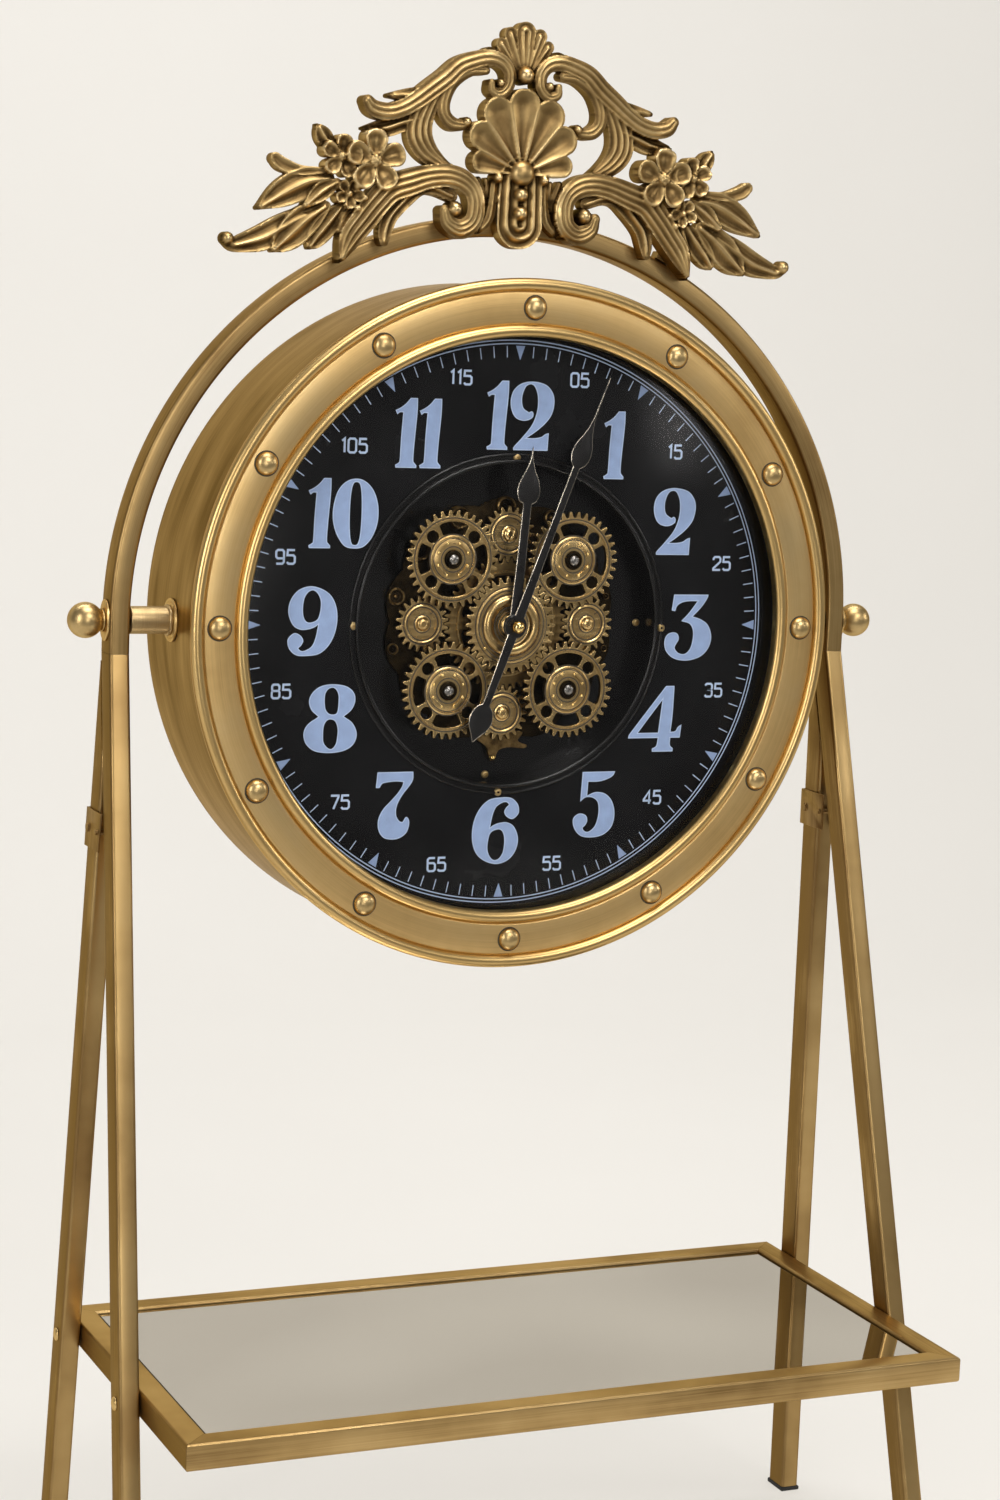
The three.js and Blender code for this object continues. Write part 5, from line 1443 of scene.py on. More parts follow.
# %% Centre wheel and ring gear
wheel_outlines = [gear_outline(GEAR_TEETH, CORNER_MODULE, 0), circle_outline(BORE + 1)]
for i in range(9):
    turn = math.radians(-58 + 14.5 * i)
    wheel_outlines.append(circle_outline(1.0, 36.9 * math.cos(turn), 36.9 * math.sin(turn), 14))
parts = [gear_blank("wheel", wheel_outlines, FRONT_GEARS)]
# Thin dark rings: painted shade on the stepped face.
for radius, y in ((34.5, -45.8), (31.4, -46.75), (27.9, -46.5), (12.9, -46.6), (16.2, -46.6)):
    parts.append(dark_ring(radius, y, (0, 0), 0.45))
face_rings = [
    (BORE, -40.8), (BORE, -49.8), (9, -49.8), (9.6, -49.2), (9.6, -47.4), (10.4, -47.2), (12.2, -47.2),
    (12.6, -46.6), (17.6, -46.6), (18.2, -46.9), (18.8, -48.2), (20.2, -49.2), (22.4, -49.7),
    (24.6, -49.3), (26.4, -48.2), (27.2, -47.1), (27.4, -46.5), (28.3, -46.5), (28.6, -47.0),
    (29.6, -47.0), (29.9, -46.6), (33.2, -46.8), (33.9, -46.4), (34.0, -45.5), (12, -40.8),
]
parts.append(turned("wheel rings", face_rings, gear_brass, 128, sharp=40))
parts.append(dome("wheel screw", 1.4, 0.8, -24.5, -46.7, -20.5, polished_brass))
wheel = joined("centre_wheel", parts)
grain_round(wheel)
belongs(wheel, "gear_train", "gear_brass", "center_wheel")

ring_outlines = [gear_outline(RING_TEETH, RING_MODULE, 0), circle_outline(BORE)]
RING_PITCH = RING_TEETH * RING_MODULE / 2
for i in range(6):
    turn = math.pi * (2 * i + 1) / 6
    inner, outer = RING_PITCH * 0.42, RING_PITCH * 0.76
    ring_outlines.append(arc_window(inner, outer, turn, math.pi / 6 - 0.14, (0, 0), 2.0))
parts = [gear_blank("rear wheel", ring_outlines, REAR_GEARS, rear_brass)]
parts.append(turned("spacer", [(BORE, -40.5), (9, -40.5), (9, -33), (BORE, -33)], gear_brass, 64))
rim_line = [(45.5, -33.6), (45.8, -34.3), (47.2, -34.3), (47.5, -33.6)]
parts.append(turned("rim line", rim_line, gear_brass, 128))
rear_wheel = joined("rear_wheel", parts)
grain_round(rear_wheel)
belongs(rear_wheel, "gear_train", "gear_brass", "ring_gear")
print("centre wheel and ring gear faces", len(wheel.data.polygons), len(rear_wheel.data.polygons))

# %% [markdown]
# Each small gear has a stepped hub with a dimple, and one short stroke marks it.

# %% Small gears
for label, x, z in (("top", 0, 1), ("right", 1, 0), ("bottom", 0, -1), ("left", -1, 0)):
    name = label + "_small_gear"
    centre = (x * SMALL_REACH, z * SMALL_REACH)
    start = meshed_start(math.atan2(z, x), RING_TEETH, SMALL_TEETH)
    front = REAR_GEARS[0]
    outlines = [gear_outline(SMALL_TEETH, RING_MODULE, start, centre)]
    outlines.append(circle_outline(2.8, *centre, sides=24))
    parts = [gear_blank(name, outlines, REAR_GEARS)]
    # Thin dark rings: painted shade beside the raised rings.
    parts += [dark_ring(radius, front, centre) for radius in (18.1, 14.6, 7.9)]
    for ring in (
        [(15.2, 0.3), (15.5, -1.0), (16.3, -1.3), (17.2, -1.0), (17.5, 0.3)],
        [(12.6, 0.2), (12.8, -0.35), (13.4, -0.35), (13.6, 0.2)],
        [(0, 0.5), (7.4, 0.5), (7.4, -0.5), (6.2, -0.9), (6, -1.8), (5.4, -2.9)]
        + [(4.0, -3.7), (2.6, -4.0), (2.2, -3.6), (0, -3.5)],
    ):
        profile = [(radius, front + depth) for radius, depth in ring]
        parts.append(turned("ring", profile, gear_brass, 64, centre=(centre[0], 0, centre[1])))
    mark_outline = [(7.5, 8.2), (9.9, 9.8), (9.3, 10.7), (6.9, 9.1)]
    mark = cut_plate("mark", [mark_outline], front - 0.25, front + 0.2, dark_line, 0.0)
    mark.data.transform(Matrix.Translation(Vector((centre[0], 0, centre[1])) * MM))
    parts.append(mark)
    gear = joined(name + "_wheel", parts)
    grain_round(gear, "Y", (centre[0], 0, centre[1]))
    belongs(gear, name, "gear_brass", name)
print("gears made")

# %% [markdown]
# The gears stand in front of a dark bronze plate with a scalloped edge. The casting shows bosses
# along its rim, more of them at the upper left, and a small bracket with a ball at the bottom.

# %% Bronze plate
PLATE = (-21.3, -18.3)
PLATE_FACE = -21.2
SCALLOPS = 14
scalloped = []
for i in range(SCALLOPS * 12):
    angle = 2 * math.pi * i / (SCALLOPS * 12)
    radius = 106 + 6 * abs(math.sin(SCALLOPS * angle / 2))
    scalloped.append((radius * math.cos(angle), radius * math.sin(angle)))
plate_outlines = [scalloped, circle_outline(BORE), circle_outline(2.8, -SMALL_REACH, 0, 24)]
STUD_REACH = 58.195
for x in (-STUD_REACH, STUD_REACH):
    for z in (-STUD_REACH, STUD_REACH):
        plate_outlines.append(circle_outline(2.9, x, z, 24))
parts = [cut_plate("plate", plate_outlines, *PLATE, casting_black, 0.6)]
for i in range(SCALLOPS):
    angle = 2 * math.pi * (i + 0.5) / SCALLOPS
    upper_left = max(0, math.cos(angle - 2.1))
    size = 3.0 + 7.0 * upper_left
    tall = 1.5 + 5.5 * upper_left
    reach = 106.5 - 3 * upper_left
    x, z = reach * math.cos(angle), reach * math.sin(angle)
    ring = [(0.72, 0), (0.78, 0.9), (0.88, 1), (1, 0.85), (1.06, 0)]
    lobe = [(size * radius, PLATE_FACE - tall * rise) for radius, rise in ring]
    parts.append(turned("lobe", lobe, bronze, 40, centre=(x, 0, z)))
    boss_metal = casting_black if i % 2 else bronze
    parts.append(dome("boss", size * 0.3, tall * 0.5, x, PLATE_FACE, z, boss_metal, 16))
post = [(0, -31.5), (2.4, -31.5), (2.4, -28.5), (5, -28.5), (5, -20.5), (0, -20.5)]
for x, z in ((0, SMALL_REACH), (SMALL_REACH, 0), (0, -SMALL_REACH)):
    parts.append(turned("post", post, bronze, 24, centre=(x, 0, z)))
bracket = [(-22, -100), (-10, -112), (-7, -120), (-1, -121), (3, -115), (13, -113), (27, -114)]
bracket += [(30, -111), (21, -107), (23, -98)]
parts.append(cut_plate("bracket", [smooth_outline(bracket)], -25.0, -20.5, bronze, 0.7))
parts.append(dome("bracket ball", 3.4, 4.5, -2.8, -22.0, -122.0, polished_brass))
back_plate = joined("bronze_plate", parts)
belongs(back_plate, "drum", "dark_bronze", "gear_plate")
print("plate faces", len(back_plate.data.polygons))

# %% [markdown]
# ## Hands and back
# The hands are black steel with a spade-shaped leaf. Their edges are filed to a slope, and the
# black has worn off there, so a bright line runs along them. A brass ball nut holds them.

# %% Hands
def hand_blade(name, right_side, front, back, degrees):
    """A blade whose right edge is given as (half width, height); the left edge mirrors it."""
    left_side = [(-p[0], *p[1:]) for p in reversed(right_side) if p[0] > 0.01]
    outline = smooth_outline(right_side + left_side, 6)
    turn = math.radians(degrees)
    cosine, sine = math.cos(turn), math.sin(turn)
    outline = [(x * cosine + z * sine, z * cosine - x * sine) for x, z in outline]
    blade = cut_plate(name, [outline], front, back, hand_black, 0.55, edge_steps=1)
    blade.data.materials.append(hand_edge)
    for face in blade.data.polygons:
        if 0.2 < abs(face.normal.y) < 0.95 and face.center.y < placed(0, (front + back) / 2, 0).y:
            face.material_index = 1
    return blade


HOUR_ANGLE, MINUTE_ANGLE = 4, 20.2
HOUR_DEPTH, MINUTE_DEPTH = (-54.1, -52.6), (-57.6, -56.1)
hour_edge = [
    (0, 160, 1), (1.6, 147), (5.2, 137), (9.4, 128), (11, 119), (8.6, 111.5), (4.1, 108.5, 1),
    (4.4, 60), (5.4, 8, 1), (5.4, 0, 1),
]
hour_blade = hand_blade("hour blade", hour_edge, *HOUR_DEPTH, HOUR_ANGLE)
hub = [(2.4, -52.6), (10.5, -52.6), (10.5, -53.6), (10.0, -54.15), (2.4, -54.15)]
pipe = [(2.4, -54.0), (2.4, -9.2), (3.3, -9.2), (3.3, -54.0)]
hour_turned = [turned("hub", hub, hand_black, 64), turned("pipe", pipe, gear_brass, 32)]
hour_hand = joined("hour_hand_blade", [hour_blade] + hour_turned)
belongs(hour_hand, "hour_hand", "hand_black", "hour_hand")

minute_edge = [
    (0, 242, 1), (0.9, 205), (1.7, 192), (4.6, 181), (8.2, 172), (9.6, 163), (7.6, 155), (3.4, 150.5, 1),
    (3.7, 80), (4.8, 6, 1), (4.8, -6, 1), (3.5, -74, 1), (8.4, -78.5), (11.3, -87), (9.8, -95),
    (5.2, -102), (0, -110, 1),
]
minute_blade = hand_blade("minute blade", minute_edge, *MINUTE_DEPTH, MINUTE_ANGLE)
hub = [(0, -56.1), (10.5, -56.1), (10.5, -57.1), (10.0, -57.65), (0, -57.65)]
arbor = [(0, -63.2), (2, -63.2), (2, -5.5), (0, -5.5)]
minute_turned = [turned("hub", hub, hand_black, 64), turned("arbor", arbor, steel, 24)]
minute_hand = joined("minute_hand_blade", [minute_blade] + minute_turned)
belongs(minute_hand, "minute_hand", "hand_black", "minute_hand")
BALL = 5.6
BALL_CENTRE = -62.4
BALL_NECK = 0.75
nut = [(2.4, -57.9), (3.6, -57.9), (4.3, -58.6)]
for i in range(13):
    turn = BALL_NECK + (math.pi - BALL_NECK) * i / 12
    nut.append((max(BALL * math.sin(turn), 0), BALL_CENTRE + BALL * math.cos(turn)))
nut += [(0, -63.5), (2.4, -63.5)]
ball_nut = turned("ball_nut", nut, polished_brass, 64, sharp=50)
belongs(ball_nut, "minute_hand", "brass", "hand_nut")
print("hands made")

# %% [markdown]
# What lies behind the dial and on the drum's back is plain: each piece is its CAD node with
# softened edges.

# %% Movement, motor and back cover
for name, node_name, body, slot, material, width in (
    ("clock_case", "movement_case", "drum", "plastic", case_black, 0.6),
    ("battery_cell", "battery", "drum", "steel", steel, 0.3),
    ("motor_can", "gear_motor", "drum", "steel", steel, 0.4),
    ("setting_wheel", "time_set_wheel", "time_set_wheel", "plastic", case_black, 0.3),
    ("rear_cover", "back_cover", "drum", "back_steel", back_paint, 0.25),
    ("battery_door", "access_door", "access_door", "back_steel", back_paint, 0.3),
):
    made = softened(name, node_name, material, width, 2, 40)
    belongs(made, body, slot, node_name)

# %% [markdown]
# ## The crown
# The cast crown is a relief: everything is carved from the front and the back is flat. So it is
# computed as a height map over a fine grid. Scrolls, leaves and lobes are strokes that follow a
# path, with sharp ridges along them and hollow flutes between; flowers and beads are set on top.
# The highest of them wins at each grid point. One half is worked out and the other is its mirror.

# %% Grid for the relief
CROWN_BACK = -14.3
ARCH_TOP = 358.5
STEP = 0.9
HALF_SPAN = 283
LOW_END = 58
HIGH_END = 168
FAR_OUTSIDE = -50.0
grid_x = np.arange(-int(HALF_SPAN / STEP), 1) * STEP
grid_z = np.arange(-int(LOW_END / STEP), int(HIGH_END / STEP)) * STEP
GX, GZ = np.meshgrid(grid_x, grid_z, indexing="ij")
height_map = np.zeros_like(GX)
edge_map = np.full_like(GX, FAR_OUTSIDE)


def smooth_path(points, steps=9):
    """A Catmull-Rom curve through rows of numbers."""
    rows = np.array(points, float)
    padded = np.vstack([2 * rows[0] - rows[1], rows, 2 * rows[-1] - rows[-2]])
    drawn = []
    for i in range(1, len(padded) - 2):
        a, b, c, d = padded[i - 1:i + 3]
        second, third = 2 * a - 5 * b + 4 * c - d, 3 * b - a - 3 * c + d
        for t in np.linspace(0, 1, steps, endpoint=False):
            drawn.append(0.5 * (2 * b + (c - a) * t + second * t * t + third * t ** 3))
    drawn.append(padded[-2])
    return np.array(drawn)


def window(low_x, high_x, low_z, high_z):
    """The part of the grid within a box."""
    a, b = np.searchsorted(grid_x, (low_x, high_x))
    c, d = np.searchsorted(grid_z, (low_z, high_z))
    return slice(a, min(b + 1, len(grid_x))), slice(c, d)


def carve(part, heights, inside):
    """Lays a shape over the relief; inside is the distance from its outline, positive within."""
    height_map[part] = np.maximum(height_map[part], np.where(inside > 0, heights, 0))
    edge_map[part] = np.maximum(edge_map[part], inside)


def rounded(depth, radius):
    """How far a rounded edge drops at a distance inside the outline."""
    near = np.clip(radius - depth, 0, radius)
    return radius - np.sqrt(np.maximum(radius ** 2 - near ** 2, 0))


def stroke(points, widths, height, ridges, arch=1.6, veins=0.0):
    """A fluted stroke along a path: half widths in millimetres, height above the crown's back."""
    rows = smooth_path([(*point, width) for point, width in zip(points, widths)])
    lengths = np.hypot(*np.diff(rows[:, :2], axis=0).T)
    travelled = np.concatenate([[0], np.cumsum(lengths)])
    reach = rows[:, 2].max() + 2
    (low_x, low_z), (high_x, high_z) = rows[:, :2].min(axis=0) - reach, rows[:, :2].max(axis=0) + reach
    part = window(low_x, high_x, low_z, high_z)
    x, z = GX[part], GZ[part]
    share = np.full_like(x, 9.0)
    half = np.ones_like(x)
    along = np.zeros_like(x)
    for i in range(len(rows) - 1):
        (ax, az, aw), (bx, bz, bw) = rows[i], rows[i + 1]
        dx, dz = bx - ax, bz - az
        t = np.clip(((x - ax) * dx + (z - az) * dz) / max(dx * dx + dz * dz, 1e-9), 0, 1)
        width = np.maximum(aw + (bw - aw) * t, 0.4)
        away = np.hypot(x - ax - dx * t, z - az - dz * t) / width
        nearer = away < share
        share = np.where(nearer, away, share)
        half = np.where(nearer, width, half)
        along = np.where(nearer, travelled[i] + lengths[i] * t, along)
    inside = (1 - share) * half
    flute = np.abs(np.cos(np.pi * (1 - share) * ridges / 2)) ** 2.4
    depth = np.minimum(3.4, 0.85 * half / ridges)
    swell = arch * share ** 2 * np.minimum(1, half / 5)
    tops = height - swell - depth * (1 - flute) - rounded(inside, 1.3)
    if veins:
        line = np.abs(np.sin((along - share * half) * 0.9))
        tops -= veins * line * np.clip(half / 5 - 0.4, 0, 1) * (1 - flute)
    taper = np.clip(half / 2.5, 0.72, 1)
    carve(part, tops * taper, inside)


def bead(x, z, radius, top, base):
    """Half a ball that stands on the relief."""
    part = window(x - radius - 1, x + radius + 1, z - radius - 1, z + radius + 1)
    away = np.hypot(GX[part] - x, GZ[part] - z)
    dome = np.sqrt(np.maximum(1 - (away / radius) ** 2, 0))
    carve(part, base + (top - base) * dome, radius - away)


# %% [markdown]
# Each stroke of the left half is its path over the arch's top, its half width at each point of the
# path, the height of its ridges over the crown's back and how many ridges it has.

# %% Scrolls, leaves and lobes
SCROLLS = {
    "upper scroll": (
        [(-32, 113), (-31, 106), (-23, 104), (-16, 111), (-15, 122), (-22, 131), (-34, 134), (-48, 131),
         (-62, 125), (-74, 114), (-87, 104), (-100, 94), (-113, 86), (-127, 82), (-140, 84),
         (-146, 90)],
        [3, 4, 5, 5.5, 6, 6.5, 7, 7.5, 8, 8.5, 8.5, 8, 7.5, 7.5, 7, 5], 18, 3,
    ),
    "hole scroll": (
        [(-37, 123), (-50, 122), (-62, 116), (-70, 107), (-75, 94), (-74, 83), (-67, 76), (-57, 75),
         (-52, 78)],
        [4, 5, 6, 6, 6, 6, 6, 4.5, 3], 15.5, 3,
    ),
    "long leaf": (
        [(-81, 104), (-90, 90), (-96, 75), (-96, 62), (-89, 51), (-78, 43), (-65, 38)],
        [6.5, 9.5, 11.5, 12, 10, 6.5, 1.5], 15, 4,
    ),
    "side leaf": (
        [(-94, 79), (-112, 74), (-129, 68), (-147, 67)],
        [5, 8, 7.5, 1.5], 13.5, 2,
    ),
    "small leaf": (
        [(-88, 102), (-106, 98), (-125, 96)],
        [5, 5.5, 2], 15, 2,
    ),
    "lower scroll": (
        [(-72, 1), (-68, -9), (-56, -14), (-45, -7), (-42, 7), (-46, 20), (-56, 28), (-70, 31),
         (-87, 29), (-103, 24), (-122, 17), (-135, 4), (-147, -11), (-158, -26), (-167, -47)],
        [5, 7, 8.5, 8.5, 8.5, 8.5, 9.5, 10, 10.5, 11.5, 12, 12, 11.5, 10, 1.5], 19, 4,
    ),
    "lower hook": (
        [(-64, 14), (-79, 19), (-93, 19), (-106, 10), (-120, -5), (-125, -18), (-126, -28)],
        [5, 5.5, 6, 7, 7, 6.5, 4], 15, 2,
    ),
    "strand at the tongue": (
        [(-39, 30), (-34, 18), (-33, 5)],
        [2.5, 2.5, 1], 12, 2,
    ),
    "second strand": (
        [(-31, 30), (-30, 18), (-32, 6)],
        [2, 2, 1], 12.5, 2,
    ),
    "third strand": (
        [(-24, 28), (-25, 11), (-28, -4), (-37, -15)],
        [3, 3.5, 4, 2], 13, 2,
    ),
    "fourth strand": (
        [(-35, 3), (-38, -6), (-43, -17)],
        [2.5, 4, 1.5], 12, 2,
    ),
    "side of the fan": (
        [(-12, 124), (-23, 134), (-33, 138), (-40, 134)],
        [3, 5, 5.5, 3.5], 12, 2,
    ),
    "foot of the fan": (
        [(-11, 113), (-12, 120), (-13, 128)],
        [2.5, 3, 3], 11, 2,
    ),
    "tail": (
        [(-198, -9), (-217, -20), (-235, -30), (-251, -35), (-261, -37), (-267, -32)],
        [8, 11, 11, 8, 5.5, 5.5], 12, 2,
    ),
    "first leaf": (
        [(-178, 23), (-197, 19), (-217, 9), (-240, -5)],
        [5, 12.5, 12, 2], 14, 2,
    ),
    "second leaf": (
        [(-184, 29), (-203, 28), (-219, 32), (-226, 37)],
        [3, 4.5, 6, 5], 13.5, 1,
    ),
    "third leaf": (
        [(-177, 49), (-183, 58), (-189, 67)],
        [5.5, 7.5, 1.5], 13, 2,
    ),
    "fourth leaf": (
        [(-171, 20), (-185, 11), (-201, -3)],
        [3.5, 8, 1.5], 15.5, 2,
    ),
    "fifth leaf": (
        [(-180, -1), (-197, -13), (-212, -27), (-226, -40)],
        [5, 13, 12.5, 2], 13.5, 2,
    ),
    "sixth leaf": (
        [(-166, -1), (-177, -15), (-187, -27), (-193, -36)],
        [4, 10, 9, 2], 13, 2,
    ),
    "seventh leaf": (
        [(-141, 7), (-155, -6), (-170, -24)],
        [3.5, 7, 1.5], 14.5, 2,
    ),
}
for path, widths, height, ridges in SCROLLS.values():
    stroke(path, widths, height, ridges, veins=0.5 if ridges == 2 else 0.0)
print("strokes", ", ".join(SCROLLS))

# %% [markdown]
# A shell of seven lobes stands in the middle over a fluted tongue, and a fan of seven narrower
# ones rises behind it. Round beads sit where the strokes meet.

# %% Shell, fan and tongue
SHELL_CENTRE = 37
FAN_CENTRE = 115


def lobe_path(angle, far, centre, shares):
    """Points on a line that leaves a centre of the middle axis at an angle from straight up."""
    turn = math.radians(angle)
    return [(far * s * math.sin(turn), centre + far * s * math.cos(turn)) for s in shares]


for angle, reach, tip in ((-78, 49, 10), (-52, 62, 13), (-26, 70, 14.5), (0, 73, 15)):
    spots = lobe_path(angle, reach - tip, SHELL_CENTRE, (0.06, 0.36, 0.7, 1))
    stroke(spots, [tip * 0.12, tip * 0.42, tip * 0.74, tip], 17, 1, arch=-0.4)
for angle, reach, tip in ((-50, 39, 5), (-35, 44, 5.5), (-19, 49, 6.5), (0, 52, 9.5)):
    spots = lobe_path(angle, reach - tip, FAN_CENTRE, (0.1, 0.5, 1))
    stroke(spots, [tip * 0.4, tip * 0.7, tip], 15 + 0.04 * angle, 2 if angle else 3, arch=1)
stroke([(0, 31), (0, 12), (0, -7)], [20, 21, 21.5], 17, 5, arch=1.2)
for x, z, radius, top, base in (
    (0, SHELL_CENTRE, 11.5, 24, 14), (0, 18.5, 7, 22.5, 12), (0, 2.5, 7, 22.5, 12), (0, 121, 8, 23, 12),
    (-22, 32, 4.6, 20, 12), (-62, 3, 7, 22, 12), (-23.5, 113, 3.8, 20, 12), (-53, 78, 4.4, 18, 9),
    (-267, -32, 5.6, 14.5, 8),
):
    bead(x, z, radius, top, base)
print("relief so far", round(float(height_map.max()), 1), "mm high")

# %% [markdown]
# Three flowers lie on each side, the largest in front, with a few berries between them.

# %% Flowers
def flower(x, z, radius, top, turn):
    """Five hollow petals round a ring of small stamens."""
    for i in range(5):
        angle = math.radians(turn + 72 * i)
        ux, uz = math.sin(angle), math.cos(angle)
        cx, cz = x + 0.58 * radius * ux, z + 0.58 * radius * uz
        part = window(x - radius * 1.1, x + radius * 1.1, z - radius * 1.1, z + radius * 1.1)
        along = (GX[part] - cx) * ux + (GZ[part] - cz) * uz
        across = (GX[part] - cx) * uz - (GZ[part] - cz) * ux
        wide = 0.36 * radius * (1 + 0.35 * np.clip(along / (0.44 * radius), -1, 1))
        share = np.hypot(along / (0.44 * radius), across / wide)
        inside = (1 - share) * 0.38 * radius
        rim = np.clip((share - 0.35) / 0.5, 0, 1)
        folds = 0.35 * np.sin(across / radius * 38) * np.clip(1 - share, 0, 1)
        drop = rounded(inside, 1.1)
        tops = top - 3.6 * (1 - rim ** 2) + folds - drop - 6 * np.clip(-along / radius, 0, 1)
        carve(part, tops, inside)
    for i in range(6):
        angle = math.radians(60 * i + turn)
        out_x, out_z = 0.13 * radius * math.sin(angle), 0.13 * radius * math.cos(angle)
        bead(x + out_x, z + out_z, 0.085 * radius, top + 0.6, top - 3)
    bead(x, z, 0.1 * radius, top + 1.4, top - 3)


flower(-168, 42, 18.5, 18.2, 8)
flower(-160, 11, 13, 18, 30)
flower(-138, 40, 27, 20.5, 0)
for x, z, radius in ((-153, 18, 4.6), (-152, -1, 3.6), (-146, 8, 3.2)):
    bead(x, z, radius, 19.5, 13)
print("relief", round(float(height_map.max()), 1), "mm high over", int((edge_map > 0).sum()), "grid points")

# %% [markdown]
# The half is mirrored and smoothed a little. The difference between the relief and its own blurred
# copy tells crevices from ridges; the finish uses it to keep the patina dark in the hollows and to
# rub the ridges bright.

# %% The whole relief
def blurred(values, radius):
    """A mean over a square window, run twice."""
    for axis in (0, 1, 0, 1):
        padded = np.pad(values, [(radius, radius) if k == axis else (0, 0) for k in range(2)], mode="edge")
        total = np.cumsum(padded, axis=axis)
        total = np.insert(total, 0, 0, axis=axis)
        size = values.shape[axis]
        upper = np.take(total, np.arange(size) + 2 * radius + 1, axis=axis)
        values = (upper - np.take(total, np.arange(size), axis=axis)) / (2 * radius + 1)
    return values


def mirrored(values):
    return np.concatenate([values, values[-2::-1]], axis=0)


heights = mirrored(height_map)
edges = mirrored(edge_map)
xs = np.concatenate([grid_x, -grid_x[-2::-1]])
filled = np.where(edges > 0, heights, np.nan)
for _ in range(3):
    shifted = [np.roll(filled, shift, axis) for shift in (-1, 1) for axis in (0, 1)]
    known = [~np.isnan(s) for s in shifted]
    total = sum(np.where(k, s, 0) for k, s in zip(known, shifted))
    mean = total / np.maximum(sum(known), 1)
    filled = np.where(np.isnan(filled) & (sum(known) > 0), mean, filled)
filled = np.nan_to_num(filled, nan=0.0)
smooth = blurred(filled, 1) * 0.45 + filled * 0.55
inside = edges > 0
around_it = blurred(np.where(inside, heights, 0.0), 3) / np.maximum(blurred(inside.astype(float), 3), 0.05)
relief = smooth - around_it
print("relief from", round(float(relief[inside].min()), 1), "to", round(float(relief[inside].max()), 1))

# %% [markdown]
# The height map becomes a mesh: one face for each grid cell that lies inside, and its outer ring of
# points is pulled onto the true outline.

# %% Points of the crown's front
THINNEST = 5.0
cells = inside[:-1, :-1] & inside[1:, :-1] & inside[:-1, 1:] & inside[1:, 1:]
slope_x, slope_z = np.gradient(edges, STEP)
size = np.maximum(slope_x ** 2 + slope_z ** 2, 0.05)
used = np.zeros_like(inside)
for a, b in ((0, 0), (1, 0), (0, 1), (1, 1)):
    used[a:a + cells.shape[0], b:b + cells.shape[1]] |= cells
number = np.full(inside.shape, -1)
number[used] = np.arange(used.sum())
around = np.zeros(inside.shape, int)
for a, b in ((0, 0), (1, 0), (0, 1), (1, 1)):
    around[a:a + cells.shape[0], b:b + cells.shape[1]] += cells
rim_points = used & (around < 4)
pull = np.clip(edges / size, 0, 1.3 * STEP) * rim_points
full_x, full_z = np.meshgrid(xs, grid_z, indexing="ij")
full_x = full_x - slope_x * pull
full_z = full_z - slope_z * pull
i, j = np.nonzero(used)
tops = np.maximum(smooth[i, j], THINNEST)
tops = np.where(rim_points[i, j], np.maximum(tops - 0.5, THINNEST), tops)
front = np.column_stack([full_x[i, j], CROWN_BACK - tops, full_z[i, j] + ARCH_TOP])
back = front.copy()
back[:, 1] = CROWN_BACK
count = len(front)
print("points on the front", count)

# %% [markdown]
# Straight walls go down from the outline to the back. The back is flat, so its faces are squares as
# large as fit, and each square lists every grid point on its border to stay closed.

# %% Walls and back
ci, cj = np.nonzero(cells)
quads = np.column_stack([number[ci, cj], number[ci + 1, cj], number[ci + 1, cj + 1], number[ci, cj + 1]])
sides = np.concatenate([quads[:, [k, (k + 1) % 4]] for k in range(4)])
known = {}
for a, b in sides:
    key = (min(a, b), max(a, b))
    known[key] = None if key in known else (a, b)
rims = [pair for pair in known.values() if pair]
walls = [(b, a, a + count, b + count) for a, b in rims]
flats = []
left = cells.copy()
for side in (16, 8, 4, 2, 1):
    steps = range(side)
    for a in range(0, left.shape[0] - side + 1, side):
        for b in range(0, left.shape[1] - side + 1, side):
            if left[a:a + side, b:b + side].all():
                left[a:a + side, b:b + side] = False
                ring = [(a, b + k) for k in steps] + [(a + k, b + side) for k in steps]
                ring += [(a + side, b + side - k) for k in steps] + [(a + side - k, b) for k in steps]
                flats.append([number[spot] + count for spot in ring])
faces = [tuple(int(v) for v in face) for face in [*quads, *walls, *flats]]
print("front, wall and back faces", len(quads), len(walls), len(flats))

# %% [markdown]
# Front, walls and back become one mesh, and four lugs between the crown and the arch carry it.

# %% The crown as one piece
LUG_ANGLES = (-24.5, -9, 9, 24.5)
BACK_RELIEF = -0.5
points = [tuple(placed(*point)) for point in np.vstack([front, back])]
mesh = bpy.data.meshes.new("crown")
mesh.from_pydata(points, [], faces)
stored = mesh.attributes.new("relief", "FLOAT", "POINT")
worn = np.concatenate([relief[i, j], np.full(count, BACK_RELIEF)])
stored.data.foreach_set("value", worn.astype(np.float32))
work = bmesh.new()
work.from_mesh(mesh)
bmesh.ops.delete(work, geom=[v for v in work.verts if not v.link_faces], context="VERTS")
work.to_mesh(mesh)
still_open = sum(e.is_boundary for e in work.edges)
work.free()
print("open edges left on the crown", still_open)
mesh.materials.append(cast_brass)
mesh.shade_smooth()
mesh.set_sharp_from_angle(angle=math.radians(55))
crown = shown("crown", mesh)
lugs = []
for angle in LUG_ANGLES:
    lug = softened_box(14, 14.3, 7.2, 0.8, cast_brass)
    lug.data.transform(Matrix.Translation(Vector((0, CROWN_BACK + 6.5, ARCH_TOP + 3.8)) * MM))
    lug.data.transform(Matrix.Rotation(math.radians(angle), 4, "Y"))
    lug.data.transform(Matrix.Translation(PIVOT))
    lugs.append(lug)
crown = joined("crown_casting", [crown] + lugs)
belongs(crown, "stand", "crown_brass", "crown_ornament")
triangles_made = sum(len(p.vertices) - 2 for p in crown.data.polygons)
print("crown triangles", triangles_made)

